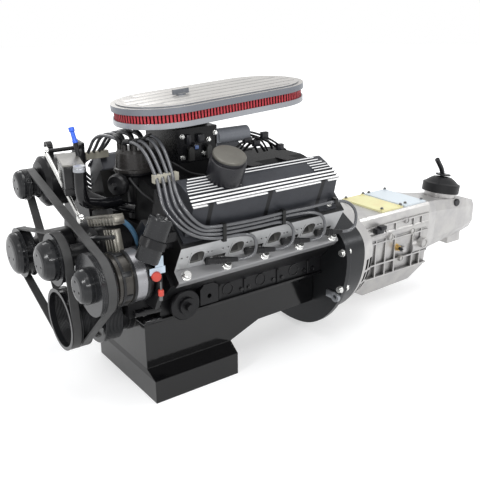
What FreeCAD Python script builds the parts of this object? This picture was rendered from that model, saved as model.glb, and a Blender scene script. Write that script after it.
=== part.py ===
import FreeCAD, Part
import math
import os
import Sketcher
from FreeCAD import Placement, Rotation, Vector

# A complete crate V8 engine with its gearbox. Millimetres. x runs rearward from the front face of the
# block, y to the engine's right and z up. The crankshaft's axis lies crank_height above the flat
# bottom of the oil pan, and the origin is on that bottom, directly below the block's front face.

doc = FreeCAD.newDocument("v8_engine")
sheet = doc.addObject("Spreadsheet::Sheet", "Sizes")

SIZES = {
    "crank_height": 211.5, "bore": 101.6, "bore_spacing": 111.25, "stroke": 76.2, "rod_length": 129.3,
    "bank_offset": 21.3, "deck_height": 208.4, "deck_half_width": 66, "first_bore": 89.5,
    "block_length": 510, "rail_half_width": 135, "valley_height": 150, "crankcase_radius": 92,
    "main_radius": 28.6, "main_length": 24, "pin_radius": 27, "web_thickness": 21,
    "counterweight_radius": 74, "crank_nose_radius": 17.5, "running_gap": 0.05, "fit_gap": 0.3,
    "cam_height": 113, "cam_radius": 25, "lobe_radius": 17, "lobe_lift": 5,
    "compression_height": 40.7, "piston_skirt": 22, "piston_wall": 6,
    "cap_half_width": 68, "cap_depth": 46,
    "head_front": 10, "head_length": 487, "head_height": 96.6, "ledge_height": 24.1,
    "ledge_reach": 72, "ledge_root": 42, "port_top": 18, "head_inner_foot": -80, "head_inner_top": -135,
    "bolt_row": 58.4, "first_bolt": 33.9, "bolt_head_radius": 10, "bolt_head_height": 9,
    "port_first": 62, "port_width": 38, "port_height": 33,
    "cover_front": 17, "cover_length": 455, "cover_rise": 79, "cover_flange": 6,
    "cover_wall": 4, "fin_pitch": 8.9, "fin_width": 4.2, "fin_height": 3,
    "filler_radius": 44, "filler_height": 50,
    "pan_depth": 59.5, "pan_half_width": 158.5, "pan_front": -33.3, "pan_rear": 208.6,
    "pan_neck_half_width": 108, "pan_wall": 3, "pan_flange": 6,
    "timing_depth": 62, "timing_wall": 5, "damper_radius": 81, "damper_front": -114,
    "damper_rear": -68, "crank_pulley_front": -195.6, "crank_pulley_radius": 76.3,
    "groove_radius": 71, "belt_width": 20, "belt_thickness": 4.5,
    "front_belt": -183, "rear_belt": -158,
    "pump_height": 152, "pump_pulley_radius": 62, "steering_y": 252, "steering_z": 94,
    "steering_pulley_radius": 66, "alternator_y": 211, "alternator_z": 283,
    "alternator_pulley_radius": 38, "compressor_y": -162, "compressor_z": 140,
    "compressor_pulley_radius": 70, "compressor_radius": 60,
    "cleaner_x": 245.8, "cleaner_z": 499, "cleaner_length": 522, "cleaner_width": 256,
    "cleaner_tilt": 3.6, "lid_rim": 14.5, "filter_height": 23, "base_rim": 9,
    "distributor_x": 24, "distributor_cap_radius": 49, "plenum_top": 349, "throttle_top": 452,
    "plate_opening": 75, "boot_radius": 7.5, "case_front": 700, "case_length": 310,
    "case_half_width": 96, "case_top": 100, "case_bottom": -172, "tail_length": 310,
    "flywheel_radius": 156, "flywheel_thickness": 18, "shaft_radius": 14.5,
    "crank_flange_radius": 45, "crank_flange": 9,
    "shifter_x": 1180, "shifter_z": 86, "shifter_tilt": 9.3, "shifter_radius": 62, "output_radius": 18,
    "alternator_rear": -50, "wire_radius": 4, "timing_front_gap": 34, "pan_shallow": 101, "filler_x": 146,
    "throttle_x": 100, "neck_radius": 64, "coil_radius": 26, "bell_flange": 94,
    "distributor_stem": 20, "distributor_base": 333, "snout_length": 72,
    "pump_pulley_front": -198, "dome_depth": 34, "compressor_front": -140, "compressor_rear": -50,
    "chain_width": 12, "chain_roller": 3.2,
    "sprocket_radius": 27, "seal_radius": 64, "damper_hub_radius": 24,
}


class Size:
    """A number with the sheet formula that gives it."""

    def __init__(self, value, text):
        self.value, self.text = float(value), text

    def combined(self, other, sign, result):
        return Size(result, f"({self.text} {sign} {text_of(other)})")

    def __add__(self, other):
        return self.combined(other, "+", self.value + value_of(other))

    def __sub__(self, other):
        return self.combined(other, "-", self.value - value_of(other))

    def __mul__(self, other):
        return self.combined(other, "*", self.value * value_of(other))

    def __truediv__(self, other):
        return self.combined(other, "/", self.value / value_of(other))

    def __radd__(self, other):
        return Size(other, repr(float(other))) + self

    def __rsub__(self, other):
        return Size(other, repr(float(other))) - self

    __rmul__ = __mul__

    def __neg__(self):
        return Size(0, "0") - self


ZERO = Size(0, "0")


def value_of(size):
    return size.value if isinstance(size, Size) else float(size)


def text_of(size):
    return size.text if isinstance(size, Size) else repr(float(size))


class Cells:
    """The sheet's cells by name."""


s = Cells()
for row, (alias, number) in enumerate(SIZES.items(), start=1):
    sheet.set(f"A{row}", alias)
    sheet.set(f"B{row}", str(number))
    sheet.setAlias(f"B{row}", alias)
    setattr(s, alias, Size(number, f"Sizes.{alias}"))
doc.recompute()

COS45 = math.sqrt(0.5)
ROOT2 = math.sqrt(2)
ALONG_X = Rotation(Vector(0, 1, 0), 90)
ALONG_Y = Rotation(Vector(1, 0, 0), -90)
UPRIGHT = Rotation()
AXIS_TURNS = {"x": ALONG_X, "y": ALONG_Y, "z": UPRIGHT}
LEFT, RIGHT = -1, 1
SIDES = {"left": LEFT, "right": RIGHT}
nodes = {}


def bind(item, prop, size):
    item.setExpression(prop, text_of(size))


def place(item, at=(0, 0, 0), turn=UPRIGHT):
    """Put an object at a point given by sizes, with a fixed turn."""
    item.Placement = Placement(Vector(*[value_of(n) for n in at]), turn)
    for letter, size in zip("xyz", at):
        if isinstance(size, Size):
            bind(item, f"Placement.Base.{letter}", size)
    return item


def box(x_range, y_range, z_range):
    """A block between two x, two y and two z values."""
    item = doc.addObject("Part::Box", "Block")
    for prop, (low, high) in zip(("Length", "Width", "Height"), (x_range, y_range, z_range)):
        bind(item, prop, (0.0 + high if isinstance(high, Size) else Size(high, text_of(high))) - low)
    return place(item, (x_range[0], y_range[0], z_range[0]))


def rod(radius, length, at=(0, 0, 0), axis="x", turn=None):
    """A cylinder that starts at a point and runs along an axis."""
    item = doc.addObject("Part::Cylinder", "Round")
    bind(item, "Radius", radius)
    bind(item, "Height", length)
    return place(item, at, turn if turn is not None else AXIS_TURNS[axis])


def fuse(*items):
    if len(items) == 1:
        return items[0]
    item = doc.addObject("Part::MultiFuse", "Joined")
    item.Shapes = list(items)
    return item


def cut(base, *tools):
    item = doc.addObject("Part::Cut", "Trimmed")
    item.Base, item.Tool = base, fuse(*tools)
    return item


def common(first, second):
    item = doc.addObject("Part::MultiCommon", "Overlap")
    item.Shapes = [first, second]
    return item


def group(*items):
    item = doc.addObject("Part::Compound", "Group")
    item.Links = list(items)
    return item


def drawn(points, plane):
    """A body with one closed profile, each corner set by two dimensions."""
    body = doc.addObject("PartDesign::Body", "Body")
    sketch = body.newObject("Sketcher::SketchObject", "Profile")
    support = [f for f in body.Origin.OriginFeatures if f.Role == plane][0]
    sketch.AttachmentSupport = (support, [""])
    sketch.MapMode = "FlatFace"
    flat = [Vector(value_of(u), value_of(v), 0) for u, v in points]
    count = len(flat)
    for k in range(count):
        sketch.addGeometry(Part.LineSegment(flat[k], flat[(k + 1) % count]), False)
    for k in range(count):
        sketch.addConstraint(Sketcher.Constraint("Coincident", k, 2, (k + 1) % count, 1))
    for k, point in enumerate(points):
        for kind, axis_line, size in zip(("DistanceX", "DistanceY"), (-2, -1), point):
            if abs(value_of(size)) < 1e-9:
                sketch.addConstraint(Sketcher.Constraint("PointOnObject", k, 1, axis_line))
                continue
            index = sketch.addConstraint(Sketcher.Constraint(kind, -1, 1, k, 1, value_of(size)))
            if isinstance(size, Size):
                name = f"{kind}{k}"
                sketch.renameConstraint(index, name)
                sketch.setExpression(f"Constraints.{name}", size.text)
    return body, sketch


def lathe(points, at=(0, 0, 0), axis="x", turn=None):
    """A turned piece: points give the place along the axis and the radius."""
    body, sketch = drawn([(radius, along) for along, radius in points], "XZ_Plane")
    feature = body.newObject("PartDesign::Revolution", "Turned")
    feature.Profile = sketch
    feature.ReferenceAxis = (sketch, ["V_Axis"])
    feature.Angle = 360
    return place(body, at, turn if turn is not None else AXIS_TURNS[axis])


def plate(points, depth, at=(0, 0, 0), axis="x", turn=UPRIGHT):
    """A profile given across an axis and padded along it."""
    plane = {"x": "YZ_Plane", "y": "XZ_Plane", "z": "XY_Plane"}[axis]
    body, sketch = drawn(points, plane)
    feature = body.newObject("PartDesign::Pad", "Raised")
    feature.Profile = sketch
    bind(feature, "Length", depth)
    feature.Reversed = axis == "y"
    return place(body, at, turn)


def shaped(shape, name="Shaped"):
    """A shape made by the geometry functions, for forms that no feature draws."""
    item = doc.addObject("Part::Feature", name)
    item.Shape = shape
    return item


def node(name, item):
    """Name a finished piece and lift it to the crankshaft's height above the origin."""
    if item.TypeId in ("PartDesign::Body", "Part::Feature", "Part::Box", "Part::Cylinder"):
        item = group(item)
    place(item, (0, 0, s.crank_height))
    item.Label = name
    nodes[name] = item
    return item


def v(*sizes):
    return Vector(*[value_of(n) for n in sizes])


def tube(points, radius, bend_share=0.45):
    """A round bar along straight runs joined by tangent arcs."""
    points = [v(*p) for p in points]
    way = (points[1] - points[0]).normalize()
    end_face = Part.Face(Part.Wire([Part.Circle(points[0], way, value_of(radius)).toShape()]))
    skin, start = [end_face], points[0]

    def side_of(solid):
        return [face for face in solid.Faces if not isinstance(face.Surface, Part.Plane)][0]

    for before, corner, after in zip(points, points[1:], points[2:]):
        one, two = (before - corner), (after - corner)
        run = min(one.Length, two.Length) * bend_share
        one.normalize()
        two.normalize()
        near = corner + one * run
        half = one.getAngle(two) / 2
        bend = run * math.tan(half)
        centre = corner + (one + two).normalize() * (bend / math.sin(half))
        axis = two.cross(one)
        turn = 180 - math.degrees(2 * half)
        skin.append(side_of(end_face.extrude(near - start)))
        end_face = end_face.translated(near - start)
        skin.append(side_of(end_face.revolve(centre, axis, turn)))
        end_face = end_face.rotated(centre, axis, turn)
        start = corner + two * run
    skin.append(side_of(end_face.extrude(points[-1] - start)))
    skin.append(end_face.translated(points[-1] - start))
    shell = Part.Shell(skin)
    shell.sewShape()
    solid = Part.Solid(shell)
    if solid.Volume < 0:
        solid.reverse()
    return solid


def belt(pulleys, gap, thickness, width, middle_x):
    """A belt over outside tangents: centre y, centre z and radius of each pulley, in turn order."""
    def face(extra):
        circles = [(v(0, y, z), value_of(radius) + extra) for y, z, radius in pulleys]
        spans, leans = [], []
        for (one, r_one), (two, r_two) in zip(circles, circles[1:] + circles[:1]):
            way = two - one
            share = (r_one - r_two) / way.Length
            way.normalize()
            out = Vector(0, way.z, -way.y) * math.sqrt(1 - share ** 2) + way * share
            spans.append((one + out * r_one, two + out * r_two))
            leans.append(math.atan2(out.z, out.y))
        edges = []
        for k, (start, end) in enumerate(spans):
            follow = (k + 1) % len(spans)
            centre, radius = circles[follow]
            turn = (leans[follow] - leans[k]) % (2 * math.pi)
            middle_lean = leans[k] + turn / 2
            middle = centre + Vector(0, math.cos(middle_lean), math.sin(middle_lean)) * radius
            edges.append(Part.LineSegment(start, end).toShape())
            edges.append(Part.Arc(end, middle, spans[follow][0]).toShape())
        return Part.Face(Part.Wire(edges))

    gap, thickness, width = value_of(gap), value_of(thickness), value_of(width)
    loop = face(gap + thickness).cut(face(gap))
    loop.translate(Vector(value_of(middle_x) - width / 2, 0, 0))
    return loop.extrude(Vector(width, 0, 0))


def turned_box(x_range, y_range, z_range, angle, pivot=(0, 0)):
    """A block turned about a line along x, its other ranges given before the turn."""
    item = doc.addObject("Part::Box", "Block")
    for prop, (low, high) in zip(("Length", "Width", "Height"), (x_range, y_range, z_range)):
        bind(item, prop, (0.0 + high if isinstance(high, Size) else Size(high, text_of(high))) - low)
    turn = Rotation(Vector(1, 0, 0), angle)
    corner = turn.multVec(v(0, y_range[0], z_range[0])) + v(0, *pivot)
    item.Placement = Placement(Vector(value_of(x_range[0]), corner.y, corner.z), turn)
    if isinstance(x_range[0], Size):
        bind(item, "Placement.Base.x", x_range[0])
    return item


def bank(side, across, up):
    """The y and z of a point given across a bank, outward positive, and up its bores."""
    return (across + up) * COS45 * side, (up - across) * COS45


def bank_turn(side):
    return Rotation(Vector(1, 0, 0), -45 * side)


def bank_offset(side):
    return s.bank_offset if side == RIGHT else ZERO


bore_half = s.bore / 2
throws = [0, 90, 270, 180]
sprocket_front = 2 - s.timing_front_gap
first_main = s.first_bore - s.bank_offset / 2 - s.bore_spacing / 2
mains = [first_main + s.bore_spacing * k for k in range(5)]
throw_reach = s.stroke / 2


def engine_block():
    rail, deck, half = s.rail_half_width, s.deck_height, s.deck_half_width
    right = [(rail, 0), (rail, rail - half * ROOT2), bank(RIGHT, half, deck),
             bank(RIGHT, -half, deck), (s.valley_height - half * ROOT2, s.valley_height)]
    left = [(-y, z) for y, z in reversed(right)]
    body = plate(right + left, s.block_length)
    tools = [rod(s.main_radius + s.running_gap, s.block_length + 2, (-1, 0, 0)),
             rod(s.cam_radius + s.running_gap, s.block_length + 2, (-1, 0, s.cam_height))]
    for k in range(4):
        start = mains[k] + s.main_length / 2
        tools.append(rod(s.crankcase_radius, s.bore_spacing - s.main_length, (start, 0, 0)))
    for side in SIDES.values():
        for k in range(4):
            x = s.first_bore - bank_offset(side) + s.bore_spacing * k
            y, z = bank(side, ZERO, Size(76, "76"))
            tools.append(rod(bore_half, s.deck_height, (x, y, z), turn=bank_turn(side)))
    return node("engine_block", cut(body, *tools))


def main_caps():
    caps = []
    for x in mains:
        half = s.main_length / 2 - 1
        cap = plate([(-s.cap_half_width, 0), (s.cap_half_width, 0), (s.cap_half_width, -s.cap_depth * 0.5),
                     (s.cap_half_width * 0.55, -s.cap_depth), (-s.cap_half_width * 0.55, -s.cap_depth),
                     (-s.cap_half_width, -s.cap_depth * 0.5)], half * 2, (x - half, 0, 0))
        caps.append(cut(cap, rod(s.main_radius + s.running_gap, half * 2 + 2, (x - half - 1, 0, 0))))
    return node("main_caps", group(*caps))


def sprocket(count, radius, bore_radius, x, z):
    """A chain sprocket whose teeth are scooped between rollers."""
    width = s.chain_width - 2
    wheel = rod(radius, width, (x, 0, z))
    scoops = []
    for k in range(count):
        lean = 2 * math.pi * k / count
        scoops.append(rod(s.chain_roller, width + 2, (x - 1, radius * math.sin(lean),
                                                      z + radius * math.cos(lean))))
    return cut(wheel, rod(bore_radius, width + 2, (x - 1, 0, z)), *scoops)


def crankshaft():
    pieces = []
    for x in mains:
        pieces.append(rod(s.main_radius, s.main_length + 2, (x - s.main_length / 2 - 1, 0, 0)))
    for k, angle in enumerate(throws):
        up = Vector(0, math.sin(math.radians(angle)), math.cos(math.radians(angle)))
        y, z = throw_reach * up.y, throw_reach * up.z
        start = mains[k] + s.main_length / 2 + 1
        length = s.bore_spacing - s.main_length - 2
        pieces.append(rod(s.pin_radius, length, (start, y, z)))
        for x in (start, start + length - s.web_thickness):
            arm = rod(s.pin_radius + 9, s.web_thickness, (x, y, z))
            hub = rod(s.main_radius + 11, s.web_thickness, (x, 0, 0))
            disc = rod(s.counterweight_radius, s.web_thickness, (x, 0, 0))
            reach = s.counterweight_radius + 1
            half = turned_box((x, x + s.web_thickness), (-reach, reach),
                              (-reach, -s.main_radius * 0.4), -angle)
            pieces += [arm, hub, common(disc, half)]
    front = s.damper_front + 2
    pieces.append(rod(s.crank_nose_radius, mains[0] - front, (front, 0, 0)))
    rear = mains[4] + s.main_length / 2
    pieces.append(rod(s.main_radius, s.block_length - rear + 1, (rear, 0, 0)))
    pieces.append(rod(s.crank_flange_radius, s.crank_flange, (s.block_length + 1, 0, 0)))
    pieces.append(sprocket(18, s.sprocket_radius, s.crank_nose_radius - 2, sprocket_front, 0))
    return node("crankshaft", fuse(*pieces))


def pistons():
    crowns = []
    for side in SIDES.values():
        for k, angle in enumerate(throws):
            lean = math.radians(angle - 45 * side)
            pin = (throw_reach.value * math.cos(lean)
                   + math.sqrt(s.rod_length.value ** 2 - (throw_reach.value * math.sin(lean)) ** 2))
            pin = throw_reach * math.cos(lean) + s.rod_length * (
                (pin - throw_reach.value * math.cos(lean)) / s.rod_length.value)
            outer, inner = bore_half - s.running_gap, bore_half - s.piston_wall
            top, foot = pin + s.compression_height, pin - s.piston_skirt
            profile = [(foot, inner), (foot, outer)]
            for groove in (22, 14, 7):
                profile += [(top - groove, outer), (top - groove, outer - 4),
                            (top - groove + 2, outer - 4), (top - groove + 2, outer)]
            profile += [(top, outer), (top, 0), (top - 9, 0), (top - 9, inner)]
            x = s.first_bore - bank_offset(side) + s.bore_spacing * k
            crowns.append(lathe(profile, (x, 0, 0), turn=bank_turn(side)))
    return node("pistons", group(*crowns))


def camshaft():
    pieces = [rod(s.cam_radius * 0.6, s.block_length - 4, (-s.timing_front_gap, 0, s.cam_height))]
    for x in mains:
        pieces.append(rod(s.cam_radius, s.main_length, (x - s.main_length / 2, 0, s.cam_height)))
    for k in range(4):
        for share, angle in ((0.22, 20), (0.38, 130), (0.62, 250), (0.78, 340)):
            x = mains[k] + s.bore_spacing * share - 6
            lean = math.radians(angle + 90 * k)
            pieces.append(rod(s.lobe_radius, 12, (x, s.lobe_lift * math.sin(lean),
                                                  s.cam_height + s.lobe_lift * math.cos(lean))))
    pieces.append(sprocket(36, s.sprocket_radius * 2, s.cam_radius * 0.6 - 2, sprocket_front, s.cam_height))
    return node("camshaft", fuse(*pieces))


def timing_chain():
    sprockets = [(0, 0, s.sprocket_radius), (0, s.cam_height, s.sprocket_radius * 2)]
    width = s.chain_width - 2
    node("timing_chain", shaped(belt(sprockets, s.fit_gap, 6, width, sprocket_front + width / 2)))


def timing_cover():
    depth, wall = s.timing_depth, s.timing_wall
    right = [(98, 0), (92, 60), (84, 122), (66, 180), (40, 196)]
    outside = plate(right + [(-y, z) for y, z in reversed(right)], depth, (-depth, 0, 0))
    below = rod(s.seal_radius - s.fit_gap, depth, (-depth, 0, 0))
    cavity = depth - wall
    tools = [rod(s.sprocket_radius * 2 + 12, cavity + 1, (-cavity, 0, s.cam_height)),
             rod(s.seal_radius - wall, cavity + 1, (-cavity, 0, 0)),
             box((-cavity, 1), (-52, 52), (-5, s.cam_height)),
             rod(s.damper_hub_radius + s.fit_gap, depth + 2, (-depth - 1, 0, 0))]
    return node("timing_cover", cut(fuse(outside, below), *tools))


def crank_damper():
    front, rear, bore = s.damper_front, s.damper_rear, s.crank_nose_radius + s.running_gap
    hub, ring = s.damper_hub_radius, s.damper_radius
    profile = [(front, bore), (front, hub + 18), (front + 9, hub + 22), (front + 9, ring - 18),
               (front, ring - 14), (front, ring - 1.5), (front + 1.5, ring), (rear - 1.5, ring),
               (rear, ring - 1.5), (rear, ring - 16), (rear - 9, ring - 20), (rear - 9, hub + 4),
               (rear + 6, hub), (-s.timing_depth + 8, hub), (-s.timing_depth + 8, bore)]
    return lathe(profile)


def grooved(front, rear, rim, groove, centres):
    """The outer outline of a pulley from front to rear, one flat groove for each belt."""
    half = s.belt_width / 2 + 0.8
    line = [(front, rim)]
    for x in centres:
        line += [(x - half, rim), (x - half, groove), (x + half, groove), (x + half, rim)]
    return line + [(rear, rim)]


def crank_pulley():
    front, rim = s.crank_pulley_front, s.crank_pulley_radius
    back = s.damper_front - s.fit_gap
    outline = grooved(front, s.rear_belt + s.belt_width / 2 + 4, rim, s.groove_radius,
                      (s.front_belt, s.rear_belt))
    end, inside, nose = s.rear_belt + s.belt_width / 2 + 4, s.groove_radius - 3.5, s.crank_nose_radius
    profile = outline + [(end, inside), (back, inside - 18), (back, nose), (back - 6, nose),
                         (back - 6, inside - 24), (end - 3, inside - 4), (end - 14, inside), (front, inside)]
    washer = rod(nose + 9, 8, (back - 14, 0, 0))
    screw = rod(13, 12, (back - 26, 0, 0))
    node("crank_pulley", group(crank_damper(), lathe(profile), fuse(washer, screw)))


def oil_pan():
    floor, wall, neck = -s.crank_height, s.pan_wall, s.pan_neck_half_width
    shelf = floor + s.pan_depth
    shoulder = shelf + 11
    front, rear = s.pan_front + 5, s.pan_rear + 13
    end = s.block_length - 2

    def skirt(inset, low, high):
        item = doc.addObject("Part::Wedge", "Skirt")
        sizes = {"Xmin": s.pan_front + inset, "Xmax": s.pan_rear - inset, "X2min": front + inset,
                 "X2max": rear - inset, "Zmin": inset - s.pan_half_width, "Zmax": s.pan_half_width - inset,
                 "Z2min": inset - neck, "Z2max": neck - inset, "Ymin": ZERO, "Ymax": high - low}
        for prop, size in sizes.items():
            bind(item, prop, size)
        return place(item, (0, 0, low), Rotation(Vector(1, 0, 0), 90))

    def upper(inset, top):
        foot = shoulder - inset - 1
        profile = [(front + inset, top), (front + inset, foot), (rear - inset * 2.2 - 3, foot),
                   (rear + 92, -s.pan_shallow - 4 + inset), (end - inset, -s.pan_shallow + inset),
                   (end - inset, top)]
        return plate(profile, (neck - inset) * 2, (0, -(neck - inset), 0), axis="y")

    low_half = s.pan_half_width
    base = box((s.pan_front, s.pan_rear), (-low_half, low_half), (floor, shelf))
    flange = box((s.pan_front - 12, end), (-low_half + 16, low_half - 16), (-s.pan_flange, ZERO))
    saddle = rod(s.seal_radius + 4, -s.pan_front + 12, (s.pan_front - 12, 0, 0))
    hollow_base = box((s.pan_front + wall, s.pan_rear - wall), (wall - low_half, low_half - wall),
                      (floor + wall, shelf - wall))
    outside = fuse(base, skirt(ZERO, shelf, shoulder), upper(ZERO, ZERO), flange)
    inside = fuse(hollow_base, skirt(wall, shelf - wall - 0.5, shoulder - wall),
                  upper(wall, Size(1, "1")))
    shell = cut(outside, inside)
    lip = cut(fuse(shell, common(saddle, box((s.pan_front - 12, 0), (-80, 80), (-80, ZERO)))),
              rod(s.seal_radius, -s.pan_front + 20, (s.pan_front - 16, 0, 0)),
              rod(s.main_radius + 1, 30, (end - 20, 0, 0)))
    return node("oil_pan", lip)


def bolt(radius, height, at, turn=UPRIGHT, washer=0.0):
    """A flanged hex head that sits on a face."""
    head = doc.addObject("Part::Prism", "Hex")
    head.Polygon = 6
    bind(head, "Circumradius", radius)
    bind(head, "Height", height)
    place(head, at, turn)
    disc = rod(radius * (1.25 + washer), height * 0.25, at, turn=turn)
    return fuse(head, disc)


def head_profile(side):
    """The head's section across its bank, outward positive, from the deck up."""
    deck, rail = s.deck_height, s.deck_height + s.head_height
    ledge = deck + s.ledge_height
    line = [(s.head_inner_foot, deck), (s.ledge_reach, deck), (s.ledge_reach, ledge - 3),
            (s.ledge_reach - 3, ledge), (s.ledge_root, ledge), (s.port_top + 3, rail),
            (s.head_inner_top, rail)]
    return [(across * side, up) for across, up in line]


def cylinder_head(name, side):
    shift = bank_offset(side)
    turn = bank_turn(side)
    deck, rail = s.deck_height, s.deck_height + s.head_height
    start = s.head_front - shift
    base = plate(head_profile(side), s.head_length, (start, 0, 0), turn=turn)
    tools = []
    face_run = s.ledge_root - s.port_top - 3
    lean = math.degrees(math.atan2(face_run.value, (rail - deck - s.ledge_height).value))
    turn_port = Rotation(Vector(1, 0, 0), -45 * side - lean * side)

    def in_face(x_range, up, height, depth):
        """A block sunk into the exhaust face, its foot at a height along the bores."""
        share = (up - s.ledge_height) / (s.head_height - s.ledge_height)
        across = s.ledge_root - (s.ledge_root - s.port_top) * share
        item = box((0, x_range[1] - x_range[0]), (0, depth * 2), (0, height))
        y, z = bank(side, across - depth, deck + up)
        inward = turn_port.multVec(Vector(0, 0 if side == RIGHT else -value_of(depth * 2), 0))
        item.Placement = Placement(v(x_range[0], y, z) + inward, turn_port)
        return item

    for k in range(4):
        x = s.port_first - shift + s.bore_spacing * k
        port = box((0, s.port_width), (0, 46), (0, s.port_height))
        y, z = bank(side, s.port_top - 4, s.deck_height + 45)
        corner = v(x - s.port_width / 2, y, z)
        offset = turn_port.multVec(Vector(0, 0 if side == RIGHT else -46, 0))
        port.Placement = Placement(corner + offset, turn_port)
        bind(port, "Placement.Base.x", x - s.port_width / 2)
        tools.append(port)
        for along in (-46, -31, 24, 34):
            tools.append(in_face((x + along, x + along + 5), s.head_height - 33, 5, 8))
        tools.append(in_face((x + 24, x + 82), s.ledge_height + 10, 13, 7))
        x = s.first_bore - shift + s.bore_spacing * k
        y, z = bank(side, ZERO, deck - 1)
        tools.append(rod(bore_half - 8, 11, (x, y, z), turn=turn))
        y, z = bank(side, s.ledge_root + 10, deck + s.ledge_height + 14)
        plug_turn = Rotation(Vector(1, 0, 0), -45 * side - 62 * side)
        tools.append(rod(15, 46, (x, y, z), turn=plug_turn))
    return node(name, cut(base, *tools))


def cylinder_heads():
    cylinder_head("cylinder_head_left", LEFT)
    cylinder_head("cylinder_head_right", RIGHT)


def head_bolts():
    bolts = []
    for side in SIDES.values():
        for k in range(5):
            y, z = bank(side, s.bolt_row, s.deck_height + s.ledge_height)
            x = s.first_bolt - bank_offset(side) + s.bore_spacing * k
            bolts.append(bolt(s.bolt_head_radius, s.bolt_head_height, (x, y, z), bank_turn(side)))
    return node("head_bolts", group(*bolts))


def cover_line(side, inset, foot):
    """A valve cover's section across its bank at a distance inside its outer faces."""
    rail = s.deck_height + s.head_height
    top = rail + s.cover_rise
    line = [(2 - inset, foot), (-6 - inset, rail + 16), (-34 - inset, top - 2 - inset),
            (-38 - inset, top - inset), (-62, top - 1 - inset), (-90 + inset * 0.5, top - 9 - inset),
            (-113 + inset, top - 19 - inset), (-118 + inset, top - 24 - inset), (-128 + inset, foot)]
    return [(across * side, up) for across, up in line]


def valve_cover(name, side):
    shift = bank_offset(side)
    turn = bank_turn(side)
    rail = s.deck_height + s.head_height
    start = s.cover_front - shift
    length = s.cover_length
    body = plate(cover_line(side, ZERO, rail), length - 16, (start + 8, 0, 0), turn=turn)
    flange = plate([(across * side, up) for across, up in
                    ((12, rail), (12, rail + s.cover_flange), (-132, rail + s.cover_flange), (-132, rail))],
                   length, (start, 0, 0), turn=turn)
    ends = []
    for x, lean in ((start + 8, -9), (start + length - 8, 9)):
        block = box((0, 60), (-160, 160), (0, 130))
        y, z = bank(side, ZERO, rail + s.cover_flange)
        spin = turn.multiply(Rotation(Vector(0, 1, 0), -lean))
        back = Vector(-60, -160, 0) if lean < 0 else Vector(0, -160, 0)
        block.Placement = Placement(v(x, y, z) + spin.multVec(back), spin)
        ends.append(block)
    outside = fuse(cut(body, *ends), flange)
    inside = plate(cover_line(side, s.cover_wall, rail - 1), length - 40, (start + 20, 0, 0), turn=turn)
    fins = []
    top = rail + s.cover_rise
    for k in range(9):
        across = -40 - s.fin_pitch * k
        drop = max(0.0, (k - 2.6)) * 3.3
        inset = 14 + 0.45 * k * k
        rise = top - drop - 3
        spans = [(start + inset, length - inset * 2)]
        if 3 <= k <= 6:
            spans = [(start + inset, 158 - inset), (start + length - 78, 78 - inset)]
        for x, run in spans:
            fin = box((0, run), (0, s.fin_width), (0, s.fin_height + 3))
            y, z = bank(side, across, rise)
            spot = v(x, y, z)
            if side == LEFT:
                spot = spot - turn.multVec(v(0, s.fin_width, 0))
            fin.Placement = Placement(spot, turn)
            fins.append(fin)
    pockets = []
    for k in (0, 1, 2):
        x = start + 94 + 170.5 * k
        y, z = bank(side, Size(8, "8"), rail + s.cover_flange)
        pockets.append(rod(17, 34, (x, y, z), turn=turn))
    return node(name, cut(fuse(outside, *fins), inside, *pockets))


def valve_covers():
    valve_cover("valve_cover_left", LEFT)
    valve_cover("valve_cover_right", RIGHT)


def cover_bolts():
    bolts = []
    rail = s.deck_height + s.head_height + s.cover_flange
    for side in SIDES.values():
        start = s.cover_front - bank_offset(side)
        for k in (0, 1, 2):
            y, z = bank(side, Size(-1, "-1"), rail)
            bolts.append(bolt(6, 7, (start + 94 + 170.5 * k, y, z), bank_turn(side)))
    return node("cover_bolts", group(*bolts))


def filler_cap():
    rail = s.deck_height + s.head_height
    y, z = bank(LEFT, Size(-84, "-84"), rail + s.cover_rise - 3)
    turn = Rotation(Vector(1, 0, 0), 28.5)
    r, high = s.filler_radius, s.filler_height
    profile = [(0, 0), (0, r - 2), (2, r), (high - 12, r - 2), (high - 10, r - 5), (high - 7, r - 5),
               (high - 6, r - 3), (high - 2, r - 4), (high, r - 7), (high, 0)]
    return node("filler_cap", lathe(profile, (s.filler_x, y, z), turn=turn))


def intake_manifold():
    foot, top = s.deck_height, s.deck_height + s.head_height - 4
    across = s.head_inner_foot
    slope = (s.head_inner_top - across) / s.head_height
    gap = s.fit_gap
    low = bank(RIGHT, across - 1, foot + 6)
    high = bank(RIGHT, across + slope * (top - foot) - 1, top)
    valley = (s.valley_height - s.deck_half_width * ROOT2, s.valley_height)
    right = [(low[0] - 2, low[1] + 1), (high[0] - 2, high[1]), (62, high[1] + 12)]
    deck = plate(right + [(-y, z) for y, z in reversed(right)],
                 s.head_length - 8, (s.head_front + 4, 0, 0))
    plenum = box((s.throttle_x - 24, s.throttle_x + 150), (-84, 84), (high[1], s.plenum_top))
    ends = []
    for x in (ZERO, s.block_length - 22):
        strip = [(valley[0] - 1, valley[1]), (low[0] - 6, low[1] + 2)]
        ends.append(plate(strip + [(-y, z) for y, z in reversed(strip)], 22, (x, 0, 0)))
    runners = []
    for side in SIDES.values():
        for k in range(4):
            x = s.first_bore - bank_offset(side) + s.bore_spacing * k
            reach = (62, 108) if side == RIGHT else (-108, -62)
            runners.append(box((x - 19, x + 19), reach, (high[1] - 30, high[1] + 14)))
    hole = rod(s.distributor_stem + s.fit_gap, 400, (s.distributor_x, 0, 100), axis="z")
    seat = rod(39, 120, (s.distributor_x, 0, s.distributor_base - 34 - gap), axis="z")
    return node("intake_manifold", cut(fuse(deck, plenum, *ends, *runners), hole, seat))


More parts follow.
